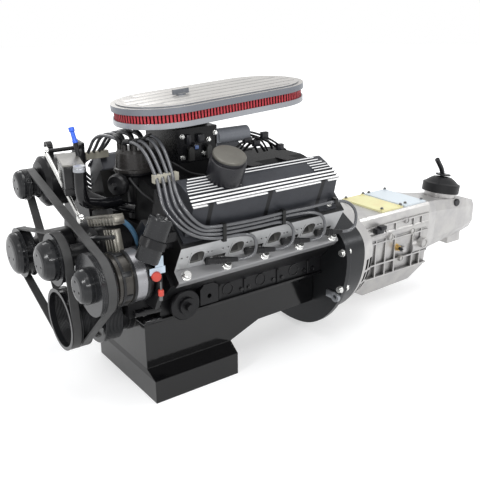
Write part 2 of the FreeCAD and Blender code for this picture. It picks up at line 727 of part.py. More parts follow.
def throttle():
    x, low, high = s.throttle_x, s.plenum_top, s.throttle_top
    body = box((x, x + 110), (-78, 78), (low, high - 22))
    neck = rod(s.neck_radius, 30, (x + 58, 0, high - 23), axis="z")
    above = box((-180, 10), (-90, 90), (0, 60))
    tilt = Rotation(Vector(0, 1, 0), -s.cleaner_tilt.value)
    under = -value_of(s.lid_rim + s.filter_height + s.base_rim + s.fit_gap)
    cleaner = Placement(v(s.cleaner_x, 0, s.cleaner_z), tilt)
    above.Placement = cleaner.multiply(Placement(Vector(-180, -90, under), UPRIGHT))
    shafts, plates, bores = [], [], []
    for shaft_x in (x + 30, x + 80):
        bores.append(rod(5 + s.running_gap, 200, (shaft_x, -100, low + 34), axis="y"))
        shafts.append(rod(5, 176, (shaft_x, -92, low + 34), axis="y"))
        for y in (-27, 27):
            bores.append(rod(22, 200, (shaft_x, y, low - 10), axis="z"))
            plates.append(rod(21.6, 3, (shaft_x, y, low + 32.5), axis="z"))
    actuator = fuse(rod(19, 92, (x + 114, -66, low + 50)),
                    box((x + 106, x + 120), (-80, -52), (low + 36, low + 64)))
    node("throttle_body", fuse(cut(fuse(body, neck), above, *bores), actuator))
    for k, shaft in enumerate(shafts):
        lever = box((x + 30 + 50 * k - 7, x + 30 + 50 * k + 7), (-92, -86), (low + 6, low + 34))
        node(("throttle_shaft_front", "throttle_shaft_rear")[k],
             fuse(shaft, plates[2 * k], plates[2 * k + 1], lever))


def stadium(length, width, low, high):
    """A long round-ended block about its own centre, from one height to another."""
    reach = length / 2 - width / 2
    return fuse(box((-reach, reach), (-width / 2, width / 2), (low, high)),
                rod(width / 2, high - low, (-reach, 0, low), axis="z"),
                rod(width / 2, high - low, (reach, 0, low), axis="z"))


def air_cleaner():
    tilt = Rotation(Vector(0, 1, 0), -s.cleaner_tilt.value)
    length, width = s.cleaner_length, s.cleaner_width
    lid_low = -s.lid_rim
    filter_low = lid_low - s.filter_height
    base_low = filter_low - s.base_rim

    def settle(name, item):
        held = group(item)
        place(held, (s.cleaner_x, 0, s.cleaner_z), tilt)
        node(name, group(held))

    lid = cut(fuse(stadium(length, width, lid_low, ZERO),
                   stadium(length - 24, width - 24, ZERO, Size(3, "3"))),
              stadium(length - 10, width - 10, lid_low - 1, lid_low + 8))
    nut = fuse(rod(12, 5, (-86, 0, 3), axis="z"), box((-108, -64), (-3, 3), (6, 18)))
    settle("air_cleaner_lid", fuse(lid, nut))
    element = cut(stadium(length - 12, width - 12, filter_low + s.fit_gap, lid_low + 8 - s.fit_gap),
                  stadium(length - 90, width - 90, filter_low - 1, lid_low + 9))
    settle("air_filter", element)
    pan = cut(stadium(length - 4, width - 4, base_low, filter_low + 4),
              stadium(length - 10, width - 10, filter_low, filter_low + 5))
    settle("air_cleaner_base", cut(pan, rod(s.neck_radius - 6, 60, (-86, 0, base_low - 20), axis="z")))


def distributor():
    x, base = s.distributor_x, s.distributor_base
    cap_r = s.distributor_cap_radius
    stem = s.distributor_stem
    top = base + 52
    profile = [(base - 118, 7 + s.running_gap), (base - 118, stem), (base - 34, stem), (base - 30, 36),
               (base - 12, 38), (base - 6, cap_r - 3), (base, cap_r - 3), (base, cap_r - 7),
               (base - 5, cap_r - 10), (base - 8, 7 + s.running_gap)]
    body = lathe(profile, (x, 0, 0), axis="z")
    cap = [(base, cap_r - 5), (base, cap_r), (base + 7, cap_r), (base + 9, cap_r - 4), (top - 8, cap_r - 8),
           (top, cap_r - 14), (top, 0), (top - 5, 0), (top - 5, cap_r - 18), (top - 10, cap_r - 13)]
    towers = [rod(9, 22, (x, 0, top - 4), axis="z")]
    for k in range(8):
        lean = math.radians(22.5 + 45 * k)
        towers.append(rod(7, 18, (x + 31 * math.sin(lean), 31 * math.cos(lean), top - 6), axis="z"))
    node("distributor_cap", fuse(lathe(cap, (x, 0, 0), axis="z"), *towers))
    shaft = rod(7, 132, (x, 0, base - 120), axis="z")
    arm = fuse(rod(12, 10, (x, 0, base + 12), axis="z"),
               box((x - 6, x + 30), (-5, 5), (base + 14, base + 22)))
    node("distributor_rotor", fuse(shaft, arm))
    can_turn = Rotation(Vector(0, 0, 1), 209).multiply(Rotation(Vector(0, 1, 0), 90))
    can = lathe([(37, 0), (37, 5), (56, 8), (58, 22), (64, 26), (74, 26), (80, 22), (84, 8), (94, 6),
                 (94, 0)],
                (x, 0, base - 22), turn=can_turn)
    node("distributor_housing", fuse(body, can))


def water_pump():
    z, front = s.pump_height, s.pump_pulley_front
    face = -s.timing_depth
    body = fuse(rod(54, 30, (face - 30, 0, z)), rod(25, s.snout_length, (face - 30 - s.snout_length, 0, z)),
                box((face - 30, face), (-30, 30), (s.damper_radius + 3, z)),
                rod(16, 78, (face - 16, 30, z - 10), axis="y"))
    shaft_bore = rod(8 + s.running_gap, 160, (face - 30 - s.snout_length - 1, 0, z))
    room = rod(40, 18, (face - 20, 0, z))
    node("water_pump", cut(body, shaft_bore, room))
    snout_end = face - 30 - s.snout_length
    rim, groove = s.pump_pulley_radius, s.pump_pulley_radius - 5
    outline = grooved(front, s.front_belt + s.belt_width / 2 + 3, rim, groove, (s.front_belt,))
    end = s.front_belt + s.belt_width / 2 + 3
    hub = snout_end - 3
    wheel = lathe(outline + [(end, groove - 6), (hub - 8, groove - 9), (hub - 8, 18), (hub, 18),
                             (hub, 0), (hub - 16, 0), (hub - 16, groove - 14), (front + 3, groove - 10),
                             (front, groove - 8)], (0, 0, z))
    impeller = [rod(8, -snout_end + face, (snout_end - 4, 0, z)), rod(12, 10, (face - 16, 0, z))]
    for k in range(6):
        impeller.append(turned_box((face - 16, face - 6), (-3, 3), (8, 36), 60 * k, (0, z)))
    node("pump_pulley", group(fuse(wheel, *impeller), dome(front, 47, s.dome_depth, 0, z)))


def dome(front, radius, depth, y, z):
    """A pressed cover bolted on the face of a pulley."""
    curve = [(front, 0), (front, radius), (front - depth * 0.35, radius),
             (front - depth * 0.62, radius * 0.95),
             (front - depth * 0.84, radius * 0.84), (front - depth * 0.96, radius * 0.7),
             (front - depth, radius * 0.55), (front - depth, 0)]
    holes = []
    for k in range(3):
        lean = math.radians(120 * k + 200)
        holes.append(rod(3, 9, (front - depth - 1, y + radius * 0.38 * math.cos(lean),
                                z + radius * 0.38 * math.sin(lean))))
    return cut(lathe(curve, (0, y, z)), *holes)


# The refrigerant ports on the compressor's rear: cap radius, length, and place outward and below its axis.
CHARGE_PORTS = [(10, 18, 26, 5), (9, 26, 26, 38)]


def compressor():
    y, z, body_r = s.compressor_y, s.compressor_z, s.compressor_radius
    front, rear = s.compressor_front, s.compressor_rear
    profile = [(front - 10, 0), (front - 40, 0), (front - 40, 20), (front - 4, 20), (front - 4, 34),
               (front, 40), (front, body_r - 4), (front + 4, body_r), (front + 34, body_r),
               (front + 34, body_r - 3), (front + 38, body_r - 3), (front + 38, body_r), (rear - 6, body_r),
               (rear, body_r - 6), (rear, 0)]
    shell = lathe(profile[1:], (0, y, z))
    end = s.rear_belt + s.belt_width / 2 + 3
    rim, groove = s.compressor_pulley_radius, s.compressor_pulley_radius - 5
    wheel = lathe(grooved(front - 42, end, rim, groove, (s.rear_belt,)) +
                  [(end, groove - 8), (front - 20, groove - 10), (front - 20, 30), (front - 6, 30),
                   (front - 6, 20 + s.running_gap), (front - 40.3, 20 + s.running_gap), (front - 40.3, 0),
                   (front - 42, 0)], (0, y, z))
    node("compressor_pulley", group(wheel, dome(front - 42, 40, s.dome_depth - 6, y, z)))
    ports = [rod(radius, run, (rear, y - across, z - down)) for radius, run, across, down in CHARGE_PORTS]
    node("ac_compressor", group(shell, *ports))


def steering_pump():
    y, z = s.steering_y, s.steering_z
    front = s.front_belt - s.belt_width / 2 - 3
    end = s.front_belt + s.belt_width / 2 + 3
    rim, groove = s.steering_pulley_radius, s.steering_pulley_radius - 5
    wheel = lathe(grooved(front, end, rim, groove, (s.front_belt,)) +
                  [(end, groove - 8), (end - 4, groove - 10), (end - 4, 16), (end + 4, 16),
                   (end + 4, 9 + s.running_gap),
                   (front + 6, 9 + s.running_gap), (front + 6, 0), (front, 0)], (0, y, z))
    node("steering_pulley", group(wheel, dome(front, 56, s.dome_depth - 10, y, z)))
    body = lathe([(front + 8, 0), (front + 8, 9), (end + 8, 9), (end + 8, 30), (end + 26, 36), (end + 30, 46),
                  (-60, 46), (-56, 42), (-56, 0)], (0, y, z))
    node("steering_pump", body)


def alternator():
    y, z = s.alternator_y, s.alternator_z
    front = s.rear_belt - s.belt_width / 2 - 12
    end = s.rear_belt + s.belt_width / 2 + 3
    rim, groove = s.alternator_pulley_radius, s.alternator_pulley_radius - 5
    wheel = lathe(grooved(front, end, rim, groove, (s.rear_belt,)) +
                  [(end, 14), (front + 6, 14), (front + 6, 0), (front, 0)], (0, y, z))
    stub = rod(8.5, end - front, (front + 5, y, z))
    node("alternator_pulley", group(fuse(wheel, stub), dome(front, 36, s.dome_depth - 16, y, z)))
    case = lathe([(end + 4, 0), (end + 4, 24), (end + 8, 52), (end + 18, 64), (-62, 64), (-52, 56), (-50, 30),
                  (-50, 0)], (0, y, z))
    ear = box((-112, -98), (y - 14, y + 14), (z + 50, z + 86))
    lug = rod(14, 14, (-112, y, z + 86))
    node("alternator", cut(fuse(case, ear, lug), rod(6, 20, (-115, y, z + 86)),
                           rod(8.5 + s.running_gap, 40, (end - 4, y, z))))


def belts():
    front = [(ZERO, ZERO, s.groove_radius),
             (s.steering_y, s.steering_z, s.steering_pulley_radius - 5),
             (ZERO, s.pump_height, s.pump_pulley_radius - 5)]
    rear = [(ZERO, ZERO, s.groove_radius),
            (s.alternator_y, s.alternator_z, s.alternator_pulley_radius - 5),
            (s.compressor_y, s.compressor_z, s.compressor_pulley_radius - 5)]
    node("front_belt", shaped(belt(front, s.fit_gap, s.belt_thickness, s.belt_width, s.front_belt)))
    node("rear_belt", shaped(belt(rear, s.fit_gap, s.belt_thickness, s.belt_width, s.rear_belt)))


# Plug wires of the left bank, by cylinder from the rear: cap tower, comb, looms, loop back to the boot.
WIRE_PATHS = [
    [(52.6, -11.9, 397.3), (52.6, -12.9, 414), (46.8, -92, 418), (38, -158, 351), (11, -210, 330),
     (12, -248, 291), (50, -247, 250), (84, -237.5, 236.6), (204, -234.1, 230.5), (290, -235.5, 232.6),
     (375, -234.1, 229.8), (459, -235.5, 232.6), (507.2, -234.1, 222.7), (540.2, -236.2, 188.1),
     (528.2, -238.3, 135.1), (488.7, -226.1, 137.6)],
    [(35.9, -28.6, 397.3), (35.9, -29.6, 412), (31.1, -95, 414), (26.3, -160, 346), (5, -207, 321),
     (3, -236, 288), (39, -245, 246), (84, -235.7, 227.1), (204, -232.3, 221), (290, -233.7, 223.1),
     (400, -234.1, 217.1), (430, -238.3, 184.6), (416, -238.3, 135.1), (377.5, -226.1, 137.6)],
    [(12.1, -28.6, 397.3), (12.1, -29.6, 410), (11.9, -98, 411), (11.6, -160, 346), (-6, -202, 318),
     (-6, -224, 285), (28, -243, 242), (84, -235.7, 217.2), (204, -232.3, 211.1), (303.2, -234.4, 212.5),
     (326.8, -238.3, 181.7), (313.8, -236.9, 135.1), (266.2, -226.1, 137.6)],
    [(-4.6, -11.9, 397.3), (-4.6, -12.9, 408), (-3.8, -101, 409), (-3.1, -160, 346), (-17, -197, 315),
     (-15, -212, 282), (17, -241, 238), (84, -236.1, 207.6), (192, -234.8, 202.9), (213.5, -236.2, 176.8),
     (200.5, -236.9, 135.1), (155, -226.1, 137.6)],
]
# Points of a wire that keep their place whichever bank it serves: those on the distributor's cap.
SHARED_POINTS = 2


def wire_path(path, side):
    """A wire's points for one bank; the right bank stands further forward."""
    shift = bank_offset(side).value
    return [Vector(x - (shift if k >= SHARED_POINTS else 0), -y * side, z)
            for k, (x, y, z) in enumerate(path)]


def plug_wires():
    """The wires, and the comb and looms that hold them beside the valve covers."""
    wires, holders = [], []
    for side in SIDES.values():
        shift = bank_offset(side)
        routes = [wire_path(path, side) for path in WIRE_PATHS]
        wires += [shaped(tube(route, s.wire_radius)) for route in routes]
        holes = group(*[shaped(tube(route, s.wire_radius + s.fit_gap)) for route in routes])
        comb = box((-11 - shift, 50 - shift), sorted((150 * side, 164 * side)), (336, 354))
        holders.append(cut(comb, holes))
        for x, low in ((118, 198), (290, 206), (459, 226)):
            line = [(232.5, low), (242, low), (242, 240), (228.5, 240), (228.5, max(low, 207))]
            line = [(y * side, z) for y, z in line]
            holders.append(cut(plate(line, 9, (x - 4.5 - shift, 0, 0)), holes))
    node("plug_wires", group(*wires))
    node("wire_looms", group(*holders))


def spark_plugs():
    """Plugs in the exhaust faces of the heads, under boots turned rearward."""
    plugs, boots = [], []
    for side in SIDES.values():
        for k in range(4):
            start = s.first_bore - bank_offset(side) + s.bore_spacing * k
            x = start.value

            def spot(along, up, across):
                y, z = bank(side, Size(across, "0"), Size(up, "0"))
                return Vector(x + along, y.value, z.value)

            seat, tip = spot(10, 248.5, 39.6), spot(11.2, 249.7, 45)
            way = tip - seat
            plug = Part.makeCylinder(9, 5, seat, way).fuse(Part.makeCylinder(6, way.Length, seat, way))
            plugs.append(shaped(plug))
            line = [spot(11.3, 249.8, 45.5), spot(14, 253, 63), spot(64, 257.2, 62.3)]
            boots.append(shaped(tube(line, s.boot_radius)))
    node("spark_plugs", group(*plugs))
    node("plug_boots", group(*boots))


def ignition_coil():
    foot, top = Vector(-80, -236, 194), Vector(-35, -236, 287)
    way = top - foot
    turn = Rotation(Vector(0, 0, 1), way)
    length = way.Length
    r = s.coil_radius
    can = lathe([(0, 0), (0, r - 3), (3, r), (length, r), (length, r - 2), (length - 5, r - 2),
                 (length - 5, 0)],
                tuple(foot), turn=turn)
    web = []
    for spin in (0, 90):
        bar = box((0, 2 * s.coil_radius - 3), (0, 4), (0, 5))
        local = Rotation(Vector(0, 0, 1), spin)
        start = Vector(0, 0, length - 5) + local.multVec(Vector(1.5 - r.value, -2, 0))
        bar.Placement = Placement(foot, turn).multiply(Placement(start, local))
        web.append(bar)
    node("ignition_coil", fuse(can, *web))
    return foot, way, turn


def coil_clip(foot, way, turn):
    r = s.coil_radius
    clip = lathe([(-9, r + s.fit_gap), (-9, r + 3), (9, r + 3), (9, r + s.fit_gap)], tuple(foot + way * 0.4),
                 turn=turn)
    arm = cut(box((-62, s.head_front), (-212, -203), (214, 236)), rod(r + 1, 200, tuple(foot), turn=turn))
    return fuse(clip, arm)


def brackets():
    """Plates and spacers that carry the accessories on the fronts of the heads."""
    rear = s.compressor_rear
    clip = coil_clip(*ignition_coil())
    left = plate([(-96, 70), (-205, 62), (-226, 100), (-226, 165), (-199, 190), (-199, 240), (-165, 262),
                  (-120, 214), (-96, 150)], 12, (rear, 0, 0))
    stand = [rod(9, s.head_front - rear - 12, (rear + 12, y, z)) for y, z in ((-186, 200), (-170, 235))]
    ways = [rod(radius + 1, 14, (rear - 1, s.compressor_y - across, s.compressor_z - down))
            for radius, run, across, down in CHARGE_PORTS]
    node("compressor_bracket", group(fuse(cut(left, *ways), *stand), clip))
    x = s.alternator_rear
    thick = 7
    right = plate([(112, 60), (262, 40), (304, 70), (304, 130), (286, 190), (278, 330), (200, 350),
                   (176, 388),
                   (130, 384), (134, 300), (112, 170)], thick, (x, 0, 0))
    reach = s.head_front - s.bank_offset - x - thick
    stand = [rod(9, reach, (x + thick, y, z)) for y, z in ((186, 200), (170, 235))]
    near, far = (-137, 146, 372), (-137, -38, 249)
    stand.append(rod(5, x + 131.7, (-131.7, near[1], near[2])))
    node("alternator_bracket", fuse(right, *stand))
    bar = tube([near, far], 5)
    ends = [rod(11, 10, (-142, y, z)) for x, y, z in (near, far)]
    node("adjuster_rod", fuse(shaped(bar), *ends))


def front_fittings():
    """The coolant pipe and the steering reservoir with its plugged stub."""
    outlet = tube([(-76, 93, 327), (-76, 93, 276), (-58, 40, 262), (-30, -20, 256), (0, -40, 250)], 12.5)
    node("coolant_pipe", shaped(outlet))
    tank = fuse(box((-128, -76), (-45, 62), (304, 384)), box((-130, -74), (-47, 64), (384, 390)))
    stub = tube([(-100, -38, 384), (-100, -40, 404), (-124, -62, 426)], 5)
    plug = tube([(-124.3, -62.3, 426.3), (-132, -69, 433), (-150, -60, 462)], 6.5)
    node("steering_reservoir", group(fuse(tank, shaped(stub)), shaped(plug)))


def side_fittings():
    """The oil filter's adapter and the engine mounts, on the flat sides below the banks."""
    rail = s.rail_half_width
    shoulder = s.rail_half_width - s.deck_half_width * ROOT2

    def under_bank(side):
        line = [(rail - 1, shoulder - 2), (rail + 59, shoulder + 58), (rail - 1, shoulder + 58)]
        return plate([(y * side, z) for y, z in line], 200, (10, 0, 0))

    adapter = lathe([(0, 0), (0, 25), (14, 27), (18, 39), (26, 39), (30, 36), (30, 22), (38, 20), (38, 10),
                     (52, 9), (52, 0)], (56, -rail, 29), turn=Rotation(Vector(1, 0, 0), 90))
    node("oil_filter_adapter", cut(adapter, under_bank(LEFT)))
    mounts = []
    for side in SIDES.values():
        line = [(98, 14), (150, 14), (150, 58), (134, 68), (112, 68), (98, 54)]
        start = rail if side == RIGHT else -rail - 26
        block = plate(line, 26, (0, start, 0), axis="y")
        mounts.append(cut(block, rod(6, 28, (124, start - 1, 34), axis="y"), under_bank(side)))
    node("mount_brackets", group(*mounts))


# The clutch housing's outline on the right of the shaft.
BELL_OUTLINE = [(70, 182), (150, 142), (214, 92), (222, 20), (206, -46), (160, -118), (96, -166), (34, -182)]


def ring_of(points, x, scale=1.0, drop=0.0, curved=False):
    """A closed outline across x, given for the right side and mirrored to the left."""
    right = [v(x, y * scale, z * scale + drop) for y, z in points]
    left = [Vector(q.x, -q.y, q.z) for q in reversed(right)]
    corners = right + left
    if not curved:
        return Part.makePolygon(corners + corners[:1])
    line = Part.BSplineCurve()
    line.interpolate(corners, PeriodicFlag=True)
    return Part.Wire([line.toShape()])


def hollow_loft(points, sections, wall):
    """A tapering shell open at both ends."""
    outer = Part.makeLoft([ring_of(points, *section, curved=True) for section in sections], True, True)
    reach = [-1] + [0] * (len(sections) - 2) + [1]
    inner = [ring_of(points, x + more, scale - wall, drop, curved=True)
             for more, (x, scale, drop) in zip(reach, sections)]
    return outer.cut(Part.makeLoft(inner, True, True))


def bellhousing():
    """A dark spacer with its engine plate, and the light clutch housing with ribbed windows."""
    x = value_of(s.block_length + 0.5)
    middle = x + value_of(s.bell_flange)
    end = value_of(s.case_front)
    rim, knee = x + 14, middle + 50
    ring = hollow_loft(BELL_OUTLINE, [(x, 1.06, 0), (rim, 1.06, 0)], 0.14)
    plate_rings = [ring_of(BELL_OUTLINE, start, 0.94, curved=True) for start in (x, x + 3)]
    engine_plate = Part.makeLoft(plate_rings, True, True)
    opening = Part.makeCylinder(value_of(s.plate_opening), 10, Vector(x - 1, 0, 0), Vector(1, 0, 0))
    dark = ring.fuse([engine_plate.cut(opening),
                      hollow_loft(BELL_OUTLINE, [(rim - 2, 0.95, 0), (middle, 0.94, 0)], 0.06)])
    sections = [(middle, 0.94, 0), (knee, 0.86, -2), (end, 0.66, -14)]
    light = hollow_loft(BELL_OUTLINE, sections, 0.06)
    skin = hollow_loft(BELL_OUTLINE, sections, 0.028)
    panes = []
    for side in SIDES.values():
        for column in range(4):
            for row in range(4):
                low = -132 + 41 * row
                start = middle + 17 + 19 * column
                pane = Part.makeBox(13, 130, 33, Vector(start, 120 if side > 0 else -250, low))
                panes.append(pane)
    light = light.cut(Part.makeCompound(panes).common(skin))
    wall = Part.makeLoft([ring_of(BELL_OUTLINE, end - 10, 0.66, -14, curved=True),
                          ring_of(BELL_OUTLINE, end, 0.66, -14, curved=True)], True, True)
    bore = Part.makeCylinder(value_of(s.shaft_radius + s.running_gap), 40, Vector(end - 30, 0, 0),
                             Vector(1, 0, 0))
    node("bellhousing", group(shaped(dark), shaped(light.fuse(wall).cut(bore))))
    bolts = []
    for side in SIDES.values():
        for y, z in ((220, 76), (218, -30), (154.5, 146)):
            bolts.append(bolt(7, 9, (rim, y * side, z), ALONG_X))
    node("bell_bolts", group(*bolts))


def flywheel():
    x = s.block_length + 1 + s.crank_flange
    r = s.flywheel_radius
    face = x + s.flywheel_thickness
    wheel = lathe([(x, 18), (x, r - 6), (x + 2, r - 6), (x + 2, r), (x + 12, r), (x + 12, r - 8),
                   (face, r - 10), (face, 18)])
    cover = lathe([(face, r - 14), (face, r - 36), (face + 3, r - 36), (face + 14, r - 42), (face + 26, 70),
                   (face + 30, 40), (face + 33, 40), (face + 32, 72), (face + 20, r - 36), (face + 4, r - 26),
                   (face + 4, r - 14)])
    node("flywheel", group(wheel, cover))
    gap = s.fit_gap
    disc = lathe([(face + gap, s.shaft_radius - 2), (face + gap, r - 46), (face + 8, r - 46), (face + 8, 40),
                  (face + 16, 30), (face + 16, s.shaft_radius - 2)])
    shaft = rod(s.shaft_radius, s.case_front - face + 74, (face - 14, 0, 0))
    node("input_shaft", fuse(shaft, disc))


def gearbox():
    front, length = s.case_front, s.case_length
    top, low, half = s.case_top, s.case_bottom, s.case_half_width
    section = [(half - 6, top), (half, top - 8), (half + 2, top - 90), (half - 8, -110), (half - 34, low)]
    across = plate(section + [(-y, z) for y, z in reversed(section)], length, (front, 0, 0))
    side_line = [(front, top), (front + length, top), (front + length, -118), (front + length - 42, low + 8),
                 (front + 60, low), (front, low + 34)]
    profile = plate(side_line, 2 * half + 12, (0, -half - 6, 0), axis="y")
    bearing = s.shaft_radius + s.running_gap
    tunnel = [rod(bearing, 40, (front - 1, 0, 0)), rod(70, length - 40, (front + 20, 0, -16)),
              rod(s.output_radius + s.running_gap, 40, (front + length - 39, 0, 0))]
    plug = rod(9, 12, (front + 190, -half - 12, -32), axis="y")
    ribs = []
    for side in SIDES.values():
        reach = (half - 20, half + 5) if side == RIGHT else (-half - 5, 20 - half)
        for x in (24, 66, 108, 150, 232, 270):
            ribs.append(box((front + x, front + x + 5), reach, (-104, 62)))
        for z in (-104, -62, 8, 62):
            ribs.append(box((front + 4, front + length - 4), reach, (z, z + 5)))
        ribs.append(rod(25, 74, (front + length - 78, (half - 14) * side, -38)))
        ribs.append(rod(17, length - 40, (front + 36, (half - 10) * side, 30)))
    solid = fuse(common(across, profile), *ribs)
    node("gearbox_case", group(cut(solid, *tunnel), plug))
    lids = []
    for x, run in ((front + 100, 92), (front + 202, 96)):
        lid = box((x, x + run), (-half + 8, half - 8), (top, top + 5))
        corners = [(x + 9 + (run - 18) * i, (half - 17) * side, top + 5)
                   for i in (0, 1) for side in SIDES.values()]
        lids += [lid] + [bolt(5, 4, corner) for corner in corners]
    node("gearbox_covers", group(*lids))


def tail_housing():
    start = value_of(s.case_front + s.case_length)
    end = start + s.tail_length.value
    outer = Part.makeLoft([ring_of([(80, 96), (92, 60), (88, -60), (60, -112)], start),
                           ring_of([(58, 84), (70, 50), (66, -50), (44, -84)], start + 70),
                           ring_of([(50, 60), (56, 30), (54, -40), (36, -68)], end - 60),
                           ring_of([(34, 40), (42, 20), (42, -34), (30, -60)], end)], True, True)
    root = v(s.shifter_x, 0, s.shifter_z)
    tilt = math.radians(s.shifter_tilt.value)
    lean = Vector(math.sin(tilt), 0, math.cos(tilt))
    turret = Part.makeCylinder(52, 50, root - lean * 50, lean)
    hollow = Part.makeCylinder(30, end - start - 14, Vector(start - 1, 0, 0), Vector(1, 0, 0))
    bearing = Part.makeCylinder(value_of(s.output_radius + s.running_gap), 60,
                                Vector(end - 30, 0, 0), Vector(1, 0, 0))
    pocket = Part.makeCylinder(36, 60, root - lean * 44, lean)
    node("tail_housing", shaped(outer.fuse(turret).cut([hollow, bearing, pocket])))
    node("tail_mount", shaped(Part.makeBox(66, 76, 38, Vector(1196, -38, -98)).cut(outer)))
    shaft = rod(s.output_radius, s.tail_length + 10, (s.case_front + s.case_length - 30, 0, 0))
    gear = rod(52, 40, (s.case_front + s.case_length - 90, 0, 0))
    stub = rod(s.output_radius, 70, (s.case_front + s.case_length - 95, 0, 0))
    node("output_shaft", fuse(shaft, gear, stub))
    turn = Rotation(Vector(0, 1, 0), s.shifter_tilt.value)
    r = s.shifter_radius
    boot = lathe([(0, 40), (0, r), (29, r), (33, r - 8), (44, 40), (50, 30), (50, 22), (44, 22), (40, 34),
                  (29, r - 12), (6, r - 12), (6, 40)], tuple(root), turn=turn)
    node("shifter_boot", boot)
    pivot = root - lean * 20
    bend = root + lean * 64
    stick = tube([pivot, bend, bend + Vector(-41, 0, 53)], 8)
    collar = Part.makeCylinder(25, 5, root + lean * 56, lean)
    node("shift_lever", shaped(stick.fuse([Part.makeSphere(16, pivot), collar])))


parts = [engine_block, main_caps, crankshaft, pistons, camshaft, timing_chain, timing_cover,
         crank_pulley, oil_pan, cylinder_heads, head_bolts, valve_covers, cover_bolts,
         filler_cap, intake_manifold, throttle, air_cleaner, distributor, water_pump, compressor,
         steering_pump, alternator, belts, plug_wires, spark_plugs, brackets, front_fittings,
         side_fittings, bellhousing, flywheel, gearbox, tail_housing]
for make in parts:
    make()
doc.recompute()

os.makedirs("parts", exist_ok=True)
for item in doc.Objects:
    if "Invalid" in item.State or "Error" in item.State:
        raise RuntimeError(f"{item.Name} ({item.TypeId}) failed: {item.State}")
for name, item in nodes.items():
    if item.Shape.isNull() or not item.Shape.isValid():
        raise RuntimeError(f"{name} has no valid shape")
    item.Shape.exportStep(f"parts/{name}.step")
    print(name, len(item.Shape.Solids), round(item.Shape.Volume), item.Shape.BoundBox)
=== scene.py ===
"""Looks of the V8 engine: finishes for every cast, painted and plated piece, and the fine trim."""
import math

import bmesh
import bpy
from mathutils import Matrix, Vector
from mathutils.bvhtree import BVHTree


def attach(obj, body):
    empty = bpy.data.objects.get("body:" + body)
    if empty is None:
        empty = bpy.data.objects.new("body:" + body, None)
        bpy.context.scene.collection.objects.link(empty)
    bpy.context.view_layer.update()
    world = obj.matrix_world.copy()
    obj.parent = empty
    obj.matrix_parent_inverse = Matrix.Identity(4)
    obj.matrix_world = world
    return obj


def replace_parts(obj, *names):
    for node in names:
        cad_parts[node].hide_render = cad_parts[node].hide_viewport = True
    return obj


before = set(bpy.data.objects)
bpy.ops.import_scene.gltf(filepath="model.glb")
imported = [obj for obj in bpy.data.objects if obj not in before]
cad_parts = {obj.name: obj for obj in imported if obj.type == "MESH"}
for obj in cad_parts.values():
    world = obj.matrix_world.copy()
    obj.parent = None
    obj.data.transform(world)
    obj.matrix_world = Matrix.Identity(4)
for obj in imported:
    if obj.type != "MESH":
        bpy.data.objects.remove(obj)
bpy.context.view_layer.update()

# Sizes and places in metres.
MM = 0.001
CRANK_HEIGHT = 211.5 * MM
CLEANER_CENTRE = Vector((245.8 * MM, 0, 499 * MM + CRANK_HEIGHT))
CLEANER_SIZE = (522 * MM, 256 * MM)
CLEANER_TILT = math.radians(3.6)
WIRE_DIAMETER = 8 * MM
MERGE = 0.00001
ROOT_HALF = math.sqrt(0.5)

# Places in millimetres, as at() takes them. Test lines start ahead of the engine or abreast of it.
BORE_SPACING = 111.25
BANK_SHIFT = 21.3
COMPRESSOR_AXIS = (-162, 140)
POCKETS = (81.5, 246, 409)
AHEAD, ABREAST = -300, 320
SIDES = ((-1, "left"), (1, "right"))


def set_camera():
    """A 50 mm lens at the photograph's height and bearing."""
    data = bpy.data.cameras.new("Camera")
    data.lens = 50.625
    data.sensor_width = 36
    data.clip_end = 50
    camera = bpy.data.objects.new("Camera", data)
    bearing, height, roll = math.radians(-35.521), math.radians(19.509), math.radians(-0.482)
    back = Vector((math.sin(bearing) * math.cos(height), -math.cos(bearing) * math.cos(height),
                   math.sin(height)))
    right = Vector((math.cos(bearing), math.sin(bearing), 0))
    up = back.cross(right)
    turned_right = right * math.cos(roll) + up * math.sin(roll)
    turned_up = up * math.cos(roll) - right * math.sin(roll)
    turn = Matrix((turned_right, turned_up, back)).transposed().to_4x4()
    camera.matrix_world = Matrix.Translation((-0.68779, -1.42806, 0.9212)) @ turn
    bpy.context.scene.collection.objects.link(camera)
    bpy.context.scene.camera = camera


def maths(nodes, links, how, one, two):
    """The result of a maths node on two sockets."""
    node = nodes.new("ShaderNodeMath")
    node.operation = how
    links.new(one, node.inputs[0])
    links.new(two, node.inputs[1])
    return node.outputs[0]


